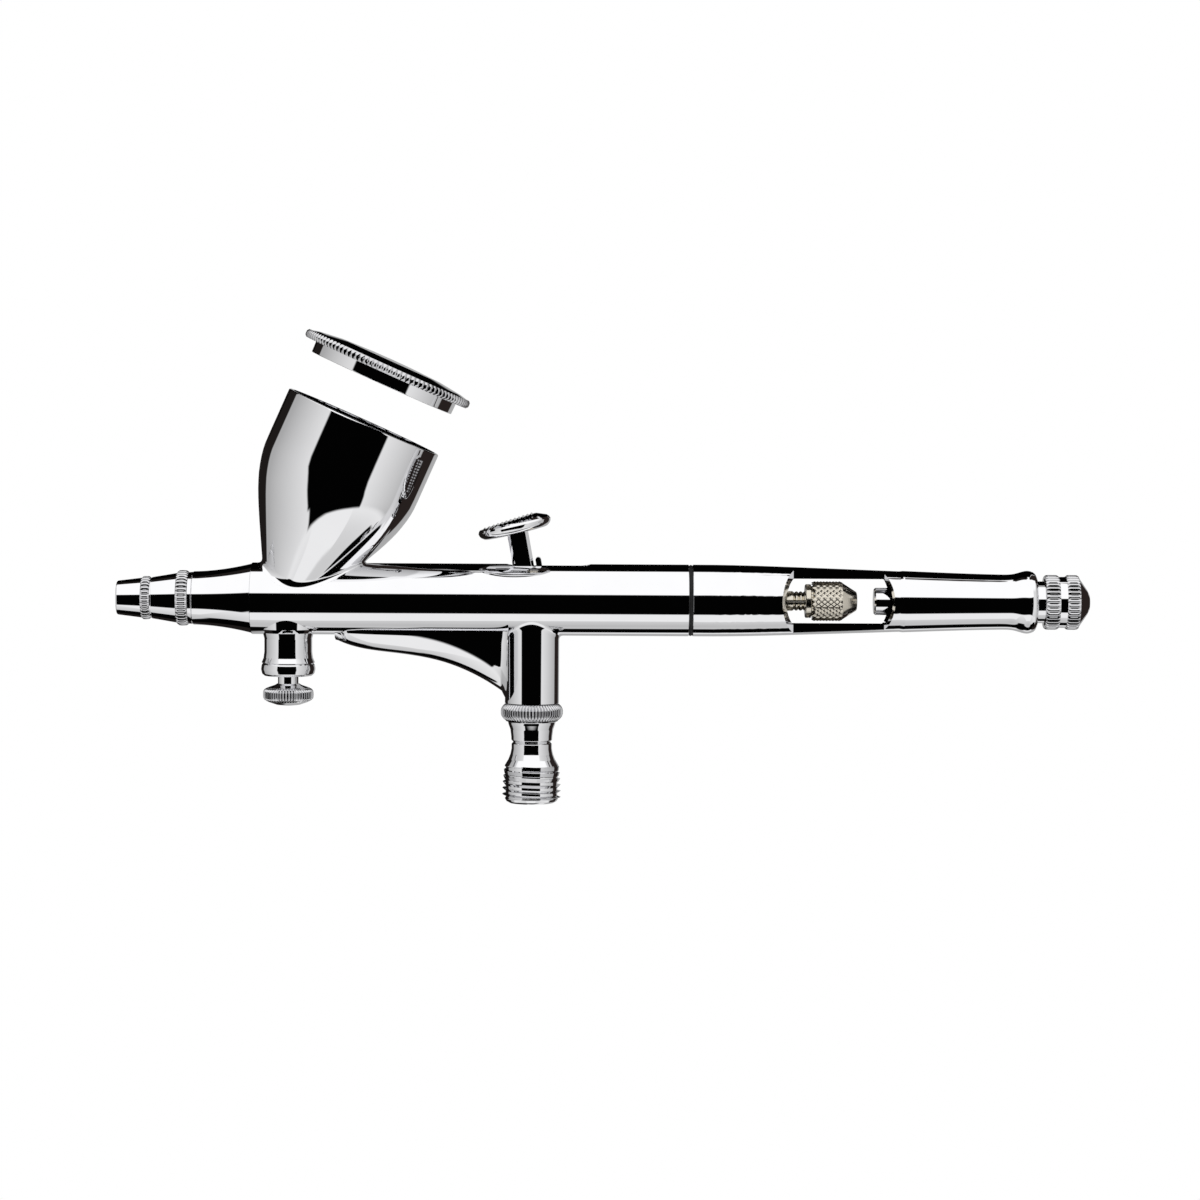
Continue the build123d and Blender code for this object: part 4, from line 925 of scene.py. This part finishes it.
@dataclass
class AirValve:
    """Knurled valve body and hose nipple under the tower."""

    ring_radius: float = 5.15
    ring_height: float = 3.0
    ring_groove: float = 4.2
    ring_teeth: Band = Band(56, 0.45, 0.95, 2.5, 1.6, sharpness=1.1, run_out=0.6, rows=11)
    housing_neck: float = 3.6
    housing_bores: tuple[float, float] = (2.4, 2.92)
    nipple_bore: float = 2.2
    nipple_neck: float = 2.9
    nipple_waist: float = 3.34
    nipple_shoulder: float = 4.46
    thread_pitch: float = 0.907
    thread_depth: float = 0.58
    thread_half_width: float = 0.26
    thread_turns: float = 5.3
    thread_start: float = 0.95

    def build(self) -> None:
        """Makes both fittings."""
        self.housing()
        self.nipple()

    def housing(self) -> None:
        """The bulging knurled ring that flares down to a waist."""
        low, high = span_mm("valve_housing", 2)
        spigot, neck, ring = self.ring_height, self.housing_neck, self.ring_groove
        top, (bore, wide) = high - spigot, self.housing_bores
        end = low - top
        turned("valve_housing_shell", [
            (spigot, bore), (spigot, neck), (0.0, neck), (0.0, ring), (-2.95, ring, 0.1), (-3.15, 3.95, 0.15),
            (-3.6, 3.84, 0.3), (-4.4, 3.55, 1.2), (-5.6, 3.4, 0.8), (end + 0.35, 3.38, 0.15),
            (end, 3.05, 0.05), (end, wide), (end + 4.0, wide), (end + 4.0, bore)],
            upright(0, top), "valve_housing", slot="chrome_knurl")
        self.ring_teeth.build("valve_housing_knurl", upright(0, top - self.ring_height / 2),
                              self.ring_radius, self.ring_height)

    def nipple(self) -> None:
        """The waisted nipple with its helical hose thread."""
        low, high = span_mm("hose_nipple", 2)
        bore, neck = self.nipple_bore, self.nipple_neck
        waist, shoulder = self.nipple_waist, self.nipple_shoulder
        spigot = 2.2
        seam, crest = high - spigot, half_span("hose_nipple", 0)
        root, end = crest - self.thread_depth, low - seam
        turned("hose_nipple_shell", [
            (spigot, bore), (spigot, neck), (0.0, neck), (0.0, 3.05, 0.05), (-0.3, waist, 0.15),
            (-1.1, waist, 0.5), (-2.0, 3.52, 1.0), (-2.9, 3.86, 1.0), (-3.9, shoulder, 0.1),
            (-4.05, shoulder, 0.1), (-4.1, root, 0.05), (end + 0.9, root, 0.1), (end + 0.75, 4.45, 0.1),
            (end + 0.3, 4.2, 0.1), (end, 3.7, 0.1), (end, bore + 0.1, 0.1), (end + 0.2, bore)],
            upright(0, seam), "hose_nipple", slot="chrome_knurl")
        grown("hose_nipple_thread", thread_tree(), upright(0, low + self.thread_start), CHROME_CUT, {
            "Turns": self.thread_turns, "Pitch": self.thread_pitch * MM, "Root Radius": root * MM,
            "Depth": (crest - root) * MM, "Half Width": self.thread_half_width * MM}, slot="chrome_knurl")


@dataclass
class AirControl:
    """The small control valve under the barrel's front and its ribbed knob."""

    spigot: float = 2.6
    bore: float = 1.3
    collar_height: float = 2.2
    knob_groove: float = 0.35
    ribs_height: float = 2.3
    ribs_drop: float = 1.82
    ribs: Band = Band(50, 0.4, 0.75, 4.0, 1.6, rows=7)

    def build(self) -> None:
        """Dresses the pin and makes collar and knob."""
        dress_nodes(CHROME, "mac_pin")
        self.collar()
        self.knob()

    def collar(self) -> None:
        """The softly rounded collar that closes the valve."""
        x = middle("mac_collar").x / MM
        low, high = span_mm("mac_collar", 2)
        radius, spigot, bore, height = half_span("mac_collar", 0), self.spigot, self.bore, self.collar_height
        top = low + height
        turned("mac_collar_ring", [
            (high - top, bore), (high - top, spigot), (0.0, spigot), (0.0, radius - 0.4, 0.2),
            (-0.35, radius - 0.12, 0.4), (-height / 2, radius, 1.2), (0.35 - height, radius - 0.18, 0.4),
            (-height, radius - 0.6, 0.3), (-height, bore)], upright(x, top), "mac_collar")

    def knob(self) -> None:
        """The ribbed disc with domed faces."""
        x = middle("mac_knob").x / MM
        low, high = span_mm("mac_knob", 2)
        radius, height = half_span("mac_knob", 0), high - low
        groove = radius - self.knob_groove
        turned("mac_knob_body", [
            (0.0, 0.0), (0.0, 1.8, 0.1), (-0.25, 2.2, 0.4), (-0.62, 3.3, 0.8), (-0.92, groove, 0.1),
            (-2.7, groove, 0.1), (-3.05, 3.3, 0.8), (-0.96 * height, 2.0, 1.0), (-height, 0.8, 0.6),
            (-height, 0.0)], upright(x, high), "mac_knob", body="mac_turner", slot="chrome_knurl")
        self.ribs.build("mac_knob_ribs", upright(x, high - self.ribs_drop), radius, self.ribs_height,
                        "mac_turner")


@dataclass
class FingerRest:
    """The softly rounded web between barrel and tower, and the soft corner at the tower's top.

    Attributes:
        fullness: Power of the section's side; the smaller, the fuller.
        tower_inset: How much the tower is narrower than the valve body below it.
    """

    half_thickness: float = 3.8
    edge_height: float = 4.2
    fullness: float = 0.36
    nose_length: float = 2.4
    nose_least: float = 0.02
    start_gap: float = 3.0
    tower_inset: float = 0.67
    tower_overlap: float = 0.6
    tower_flare: float = 0.9
    tower_flare_run: float = 0.8
    web_least: float = 0.25
    skin: float = 0.08
    smoothing: int = 3
    corner: float = 0.7
    stations: int = 180
    section_steps: int = 16

    def build(self) -> None:
        """Makes web and corner."""
        tower = half_span("valve_housing", 0) - self.tower_inset
        self.web(tower)
        foot_fillet("valve_tower_corner", upright(0, SPRAY_AXIS_Z / MM), tower, 0.0, (-9.0, -1.0),
                    self.corner)

    def web(self, tower: float) -> None:
        """Follows the CAD web's lower edge with a fuller section.

        Args:
            tower: The tower's radius.
        """
        barrel = Probe("body_barrel")
        start = span_mm("mac_collar", 0)[1] + self.start_gap
        under = SPRAY_AXIS_Z / MM - BARREL_RADIUS
        lows: list[tuple[float, float]] = []
        for k in range(self.stations):
            x = start + (-tower + self.tower_overlap - start) * k / (self.stations - 1)
            hit = barrel.hit(x * MM, True)
            if hit is not None and hit.z / MM < under - self.web_least:
                lows.append((x, hit.z / MM - self.skin))
        smooth = []
        for n, (x, _) in enumerate(lows):
            near = lows[max(0, n - self.smoothing):n + self.smoothing + 1]
            smooth.append((x, sum(z for _, z in near) / len(near)))
        nose, end = smooth[0][0], smooth[-1][0]
        sections = []
        for x, low in smooth:
            run = min(1.0, (x - nose) / self.nose_length)
            half = self.half_thickness * math.sqrt(max(self.nose_least, 1 - (1 - run) ** 2))
            half += self.tower_flare * math.exp(-(end - x) / self.tower_flare_run)
            reach = min(1.0, (under + 0.5 - low) / self.edge_height)
            shares = [reach * (n / self.section_steps) ** 2 for n in range(self.section_steps + 1)]
            right = [(half * share ** self.fullness, low + self.edge_height * share) for share in shares]
            right.append((right[-1][0], max(right[-1][1] + 0.1, under + 0.9)))
            ring = right + [(-y, z) for y, z in reversed(right[1:])]
            sections.append([Vector((x, y, z)) * MM for y, z in ring])
        shell("finger_rest_web", sections, False)


@dataclass
class Tail:
    """Handle, chuck nut, needle carriage and preset screw."""

    seam_half_width: float = 0.22
    skin_start: float = 4.0
    skin_end: float = 0.05
    skin_stations: int = 120
    skin_lift: float = 0.13
    skin_sunk: float = 0.03
    skin_wall: float = 0.4
    nut_grip: tuple[float, float] = (1.2, 5.8)
    nut_collar: float = 2.8
    nut_groove: float = 2.5
    nut_radius: float = 3.14
    nut_bores: tuple[float, float] = (0.65, 1.65)
    nut_teeth: int = 26
    nut_rows: int = 9
    nut_tooth: tuple[float, float, float] = (0.22, 0.4, 0.52)
    flute_groove: float = 0.25
    flute_bands: tuple[tuple[float, float], ...] = ((0.12, 2.42), (3.6, 5.72))
    flutes: Band = Band(36, 0.26, 0.2, 10.0, 1.2, run_out=0.05, rows=7)

    def build(self) -> None:
        """Dresses handle and screw and makes nut, knob, tail skin and seam."""
        dress_nodes(CHROME, "handle", "preset_rod", "spring_case")
        dress_nodes(NICKEL, "spring_guide")
        self.chuck_nut()
        self.knob()
        self.tail_skin()
        self.seam()

    def seam(self) -> None:
        """The dark line where the handle is screwed to the barrel: a dull near-black ring of painted shade in
        the seam.
        """
        half, outer = self.seam_half_width, BARREL_RADIUS
        turned("handle_seam_line", [
            (-half, outer - 0.5), (-half, outer - 0.12, 0.1), (0.0, outer - 0.03, 0.1),
            (half, outer - 0.12, 0.1), (half, outer - 0.5)],
            along_spray(span_mm("handle", 0)[0]), finish=SEAM_PAINTED_SHADE)

    def tail_skin(self) -> None:
        """A finely turned skin on the handle's tail and bead, behind the window."""
        probe = Probe("handle")
        start, end = span_mm("preset_rod", 0)[0] + self.skin_start, span_mm("handle", 0)[1] - self.skin_end
        count = self.skin_stations
        raw = []
        for k in range(count):
            x = start + (end - start) * k / (count - 1)
            hits = [probe.hit(x * MM, up) for up in (False, True)]
            raw.append((x, max(abs(hit.z - SPRAY_AXIS_Z) / MM for hit in hits if hit is not None)))
        skin = []
        for k, (x, radius) in enumerate(raw):
            near = [r for _, r in raw[max(0, k - 2):k + 3]]
            lift = self.skin_lift * min(1.0, k / 4) - self.skin_sunk
            skin.append((x - start, (sum(near) / len(near) if k < count - 4 else radius) + lift))
        ends = [(station, radius - self.skin_wall) for station, radius in (skin[0], skin[-1])]
        turned("handle_tail_skin", [ends[0], *skin, ends[1]], along_spray(start))

    def chuck_nut(self) -> None:
        """The diamond-knurled nut with collar and cone."""
        front, rear = span_mm("chuck_nut", 0)
        (grip0, grip1), (bore, wide), end = self.nut_grip, self.nut_bores, rear - front
        collar, groove, grip = self.nut_collar, self.nut_groove, self.nut_radius
        turned("chuck_nut_body", [
            (0.0, wide), (0.0, collar - 0.2, 0.15), (0.15, collar, 0.1), (grip0 - 0.25, collar, 0.1),
            (grip0 - 0.15, groove, 0.05), (grip0 + 0.05, groove, 0.05), (grip0 + 0.25, 3.05, 0.1),
            (grip0 + 0.5, grip, 0.1), (grip1 - 0.2, grip, 0.1), (grip1, 3.1, 0.1), (grip1 + 0.3, 3.1, 0.15),
            (end - 0.1, 1.55, 0.1), (end, 1.35, 0.1), (end, bore), (end - 1.0, bore), (end - 2.5, wide)],
            along_spray(front), "chuck_nut", body="chuck", finish=NICKEL, slot="nickel")
        spacing = (grip1 - grip0 - 0.5) / (self.nut_rows - 1)
        grown("chuck_nut_knurl", knurl_tree(), along_spray(front + grip0 + 0.4), NICKEL, {
            "Teeth": self.nut_teeth, "Ring Radius": (grip - 0.06) * MM, "Rows": self.nut_rows,
            "Row Spacing": spacing * MM, "Stagger": math.pi / self.nut_teeth,
            "Tooth": [size * MM for size in self.nut_tooth], "Tooth Sides": 4, "Tooth Rings": 2},
            body="chuck", slot="nickel", smooth=False)

    def knob(self) -> None:
        """The preset knob: two fluted bands, a plain groove and a pointed end."""
        front, rear = span_mm("preset_knob", 0)
        radius, end, bands = half_span("preset_knob"), rear - front, self.flute_bands
        groove, last = radius - self.flute_groove, bands[-1][1]
        turned("preset_knob_body", [
            (0.0, 0.0), (0.0, groove - 0.5, 0.1), (0.4, groove - 0.1, 0.2), (last - 0.05, groove, 0.05),
            (last, groove - 0.05, 0.1), (end - 0.35, 2.0, 0.5), (end, 1.25, 0.5), (end, 0.0)],
            along_spray(front), "preset_knob", body="stop_knob", slot="chrome_knurl")
        for label, (start, stop) in zip(("front", "rear"), bands):
            self.flutes.build(f"preset_knob_flutes_{label}", along_spray(front + (start + stop) / 2), radius,
                              stop - start, "stop_knob")


@dataclass
class Insides:
    """The main body and the CAD pieces that the shells hide."""

    def build(self) -> None:
        """Gives each of these nodes the finish of its real counterpart."""
        dress_nodes(CHROME, "body_barrel")
        dress_nodes(NICKEL_SILVER, "nozzle")
        dress_nodes(STEEL, "needle", "trigger_pin", "lever_pin")
        dress_nodes(BRASS, "packing_screw", "valve_piston", "air_valve", "valve_screw")
        dress_nodes(SPRING_WIRE, "needle_spring", "valve_spring")
        dress_nodes(FLUOROPOLYMER, "needle_packing", "head_seal")
        dress_nodes(NITRILE, "piston_o_ring", "preset_o_ring", "valve_seal", "mac_seal")


# ---- studio ----
@dataclass
class Studio:
    """A pale floor, a white tent of soft light with dark gaps that the chrome mirrors, and the camera."""

    lens_mm: float = 106.0
    sensor_mm: float = 36.0
    distance: float = 0.585
    aim_x: float = 0.0112
    elevation_deg: float = 2.9
    roll_deg: float = 0.3
    floor_drop: float = 0.30
    floor_half: float = 3.0
    paper: float = 1.0
    dark: float = 0.0008

    def build(self) -> None:
        """Makes light, floor and camera."""
        bpy.context.scene.view_settings.view_transform = "Standard"
        self.light()
        self.floor()
        self.camera()

    def light(self) -> None:
        """The tent: what the chrome mirrors in each direction, given by side angle and height angle."""
        world = bpy.data.worlds.new("light_tent")
        bpy.context.scene.world = world
        world.use_nodes = True
        tree = world.node_tree
        tree.nodes.clear()
        way = add(tree, "ShaderNodeTexCoord").outputs["Generated"]
        part = add(tree, "ShaderNodeSeparateXYZ", {0: way}).outputs
        side = maths(tree, "ARCTAN2", part["X"], maths(tree, "MULTIPLY", part["Y"], -1.0))
        across = maths(tree, "ABSOLUTE", side)
        height = maths(tree, "ARCSINE", part["Z"])

        def above(angle: Node, degrees: float, soft: float) -> Node:
            """1 where an angle is above a limit, with a soft edge."""
            low, high = math.radians(degrees - soft), math.radians(degrees + soft)
            return add(tree, "ShaderNodeMapRange", {"Value": angle, "From Min": low, "From Max": high},
                       interpolation_type="SMOOTHSTEP")

        def window(angle: Node, low: float | None, high: float | None, soft: float = 1.5) -> Any:
            """1 where an angle lies between two limits, either of which may be left out."""
            mask = 1.0 if low is None else above(angle, low, soft)
            return mask if high is None else maths(tree, "SUBTRACT", mask, above(angle, high, soft))

        def ramp(angle: Node, start: float, end: float, first: float, last: float) -> Node:
            """A brightness that runs evenly from one angle to another."""
            return add(tree, "ShaderNodeMapRange", {
                "Value": angle, "From Min": math.radians(start), "To Min": first,
                "From Max": math.radians(end), "To Max": last})

        def grey(brightness: float, tint: tuple[float, float, float] = (1, 1, 1)) -> tuple[float, ...]:
            """A brightness with a slight tint."""
            return (*(brightness * share for share in tint), 1)

        dark = grey(self.dark)
        layers = (
            (ramp(height, -44, -88, 0.90, 0.55), (height, None, -44, 3.0)),  # the table below
            (grey(0.93), (side, -35, 30), (height, -70, -44)),  # its lit front
            (grey(1.12), (across, None, 46, 3.0), (height, 19, None)),  # the soft box in front
            (grey(1.12), (height, 38, None, 7.0)),  # the tent's bright top
            (grey(0.018, (1.25, 0.92, 0.85)), (side, 112, 150), (height, -60, 80)),  # gap behind, right
            (grey(0.012, (1.15, 0.95, 0.9)), (side, -172, -123), (height, -60, 80)),  # gap behind, left
            (dark, (across, 152, None), (height, 8, 72)),  # gap right behind
            (dark, (side, -41, 40), (height, -44, 19)),  # the camera's black card
            (dark, (side, -44, -38), (height, -33, 19)),  # its cut corner
            (dark, (across, 90, None), (height, -77, -54)),  # the table's far edge
        )
        tent = ramp(across, 40, 115, 0.84, 0.44)  # walls, greyer sideways
        for light, first, *others in layers:
            mask = window(*first)
            for other in others:
                mask = maths(tree, "MULTIPLY", mask, window(*other))
            tent = add(tree, "ShaderNodeMix", {0: mask, 6: tent, 7: light}, data_type="RGBA").outputs[2]
        mirrored = add(tree, "ShaderNodeBackground", {"Color": tent, "Strength": 1.0})
        paper = add(tree, "ShaderNodeBackground", {"Color": (1, 1, 1, 1), "Strength": self.paper})
        seen = add(tree, "ShaderNodeLightPath").outputs["Is Camera Ray"]
        mix = add(tree, "ShaderNodeMixShader", {0: seen, 1: mirrored, 2: paper})
        add(tree, "ShaderNodeOutputWorld", {"Surface": mix})

    def floor(self) -> None:
        """A plain white sweep under the gun."""
        half, level = self.floor_half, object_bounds()[0][2] - self.floor_drop
        mesh = bpy.data.meshes.new("studio_floor")
        mesh.from_pydata([(-half, -half, level), (half, -half, level), (half, half, level),
                          (-half, half, level)], [], [(0, 1, 2, 3)])
        floor = bpy.data.objects.new("studio_floor", mesh)
        bpy.context.scene.collection.objects.link(floor)
        material = bpy.data.materials.new("white_paper_sweep")
        material.use_nodes = True
        inputs = material.node_tree.nodes["Principled BSDF"].inputs
        inputs["Base Color"].default_value = (0, 0, 0, 1)
        inputs["Specular IOR Level"].default_value = 0.0
        inputs["Emission Color"].default_value = (1, 1, 1, 1)
        inputs["Emission Strength"].default_value = self.paper
        mesh.materials.append(material)
        floor.visible_glossy = False
        floor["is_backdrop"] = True

    def camera(self) -> None:
        """A long lens level with the barrel, almost from the side."""
        data = bpy.data.cameras.new("camera")
        data.lens = self.lens_mm
        data.sensor_width = self.sensor_mm
        data.clip_start, data.clip_end = 0.01, 20
        camera = bpy.data.objects.new("camera", data)
        bpy.context.scene.collection.objects.link(camera)
        tilt = math.radians(self.elevation_deg)
        aim = Vector((self.aim_x, 0, SPRAY_AXIS_Z))
        camera.location = aim + Vector((0, -math.cos(tilt), math.sin(tilt))) * self.distance
        view = (aim - camera.location).to_track_quat("-Z", "Y").to_matrix()
        camera.rotation_euler = (view @ Matrix.Rotation(math.radians(self.roll_deg), 3, "Z")).to_euler()
        bpy.context.scene.camera = camera


def main() -> None:
    """Builds every sub-assembly in order, then the studio."""
    logging.basicConfig(level=logging.INFO, format="%(name)s: %(message)s")
    for part in (FrontEnd(), PaintCup(), Trigger(), AirValve(), AirControl(), FingerRest(), Tail(), Insides(),
                 Studio()):
        LOG.info("building %s", type(part).__name__)
        part.build()


if __name__ == "__main__":
    main()
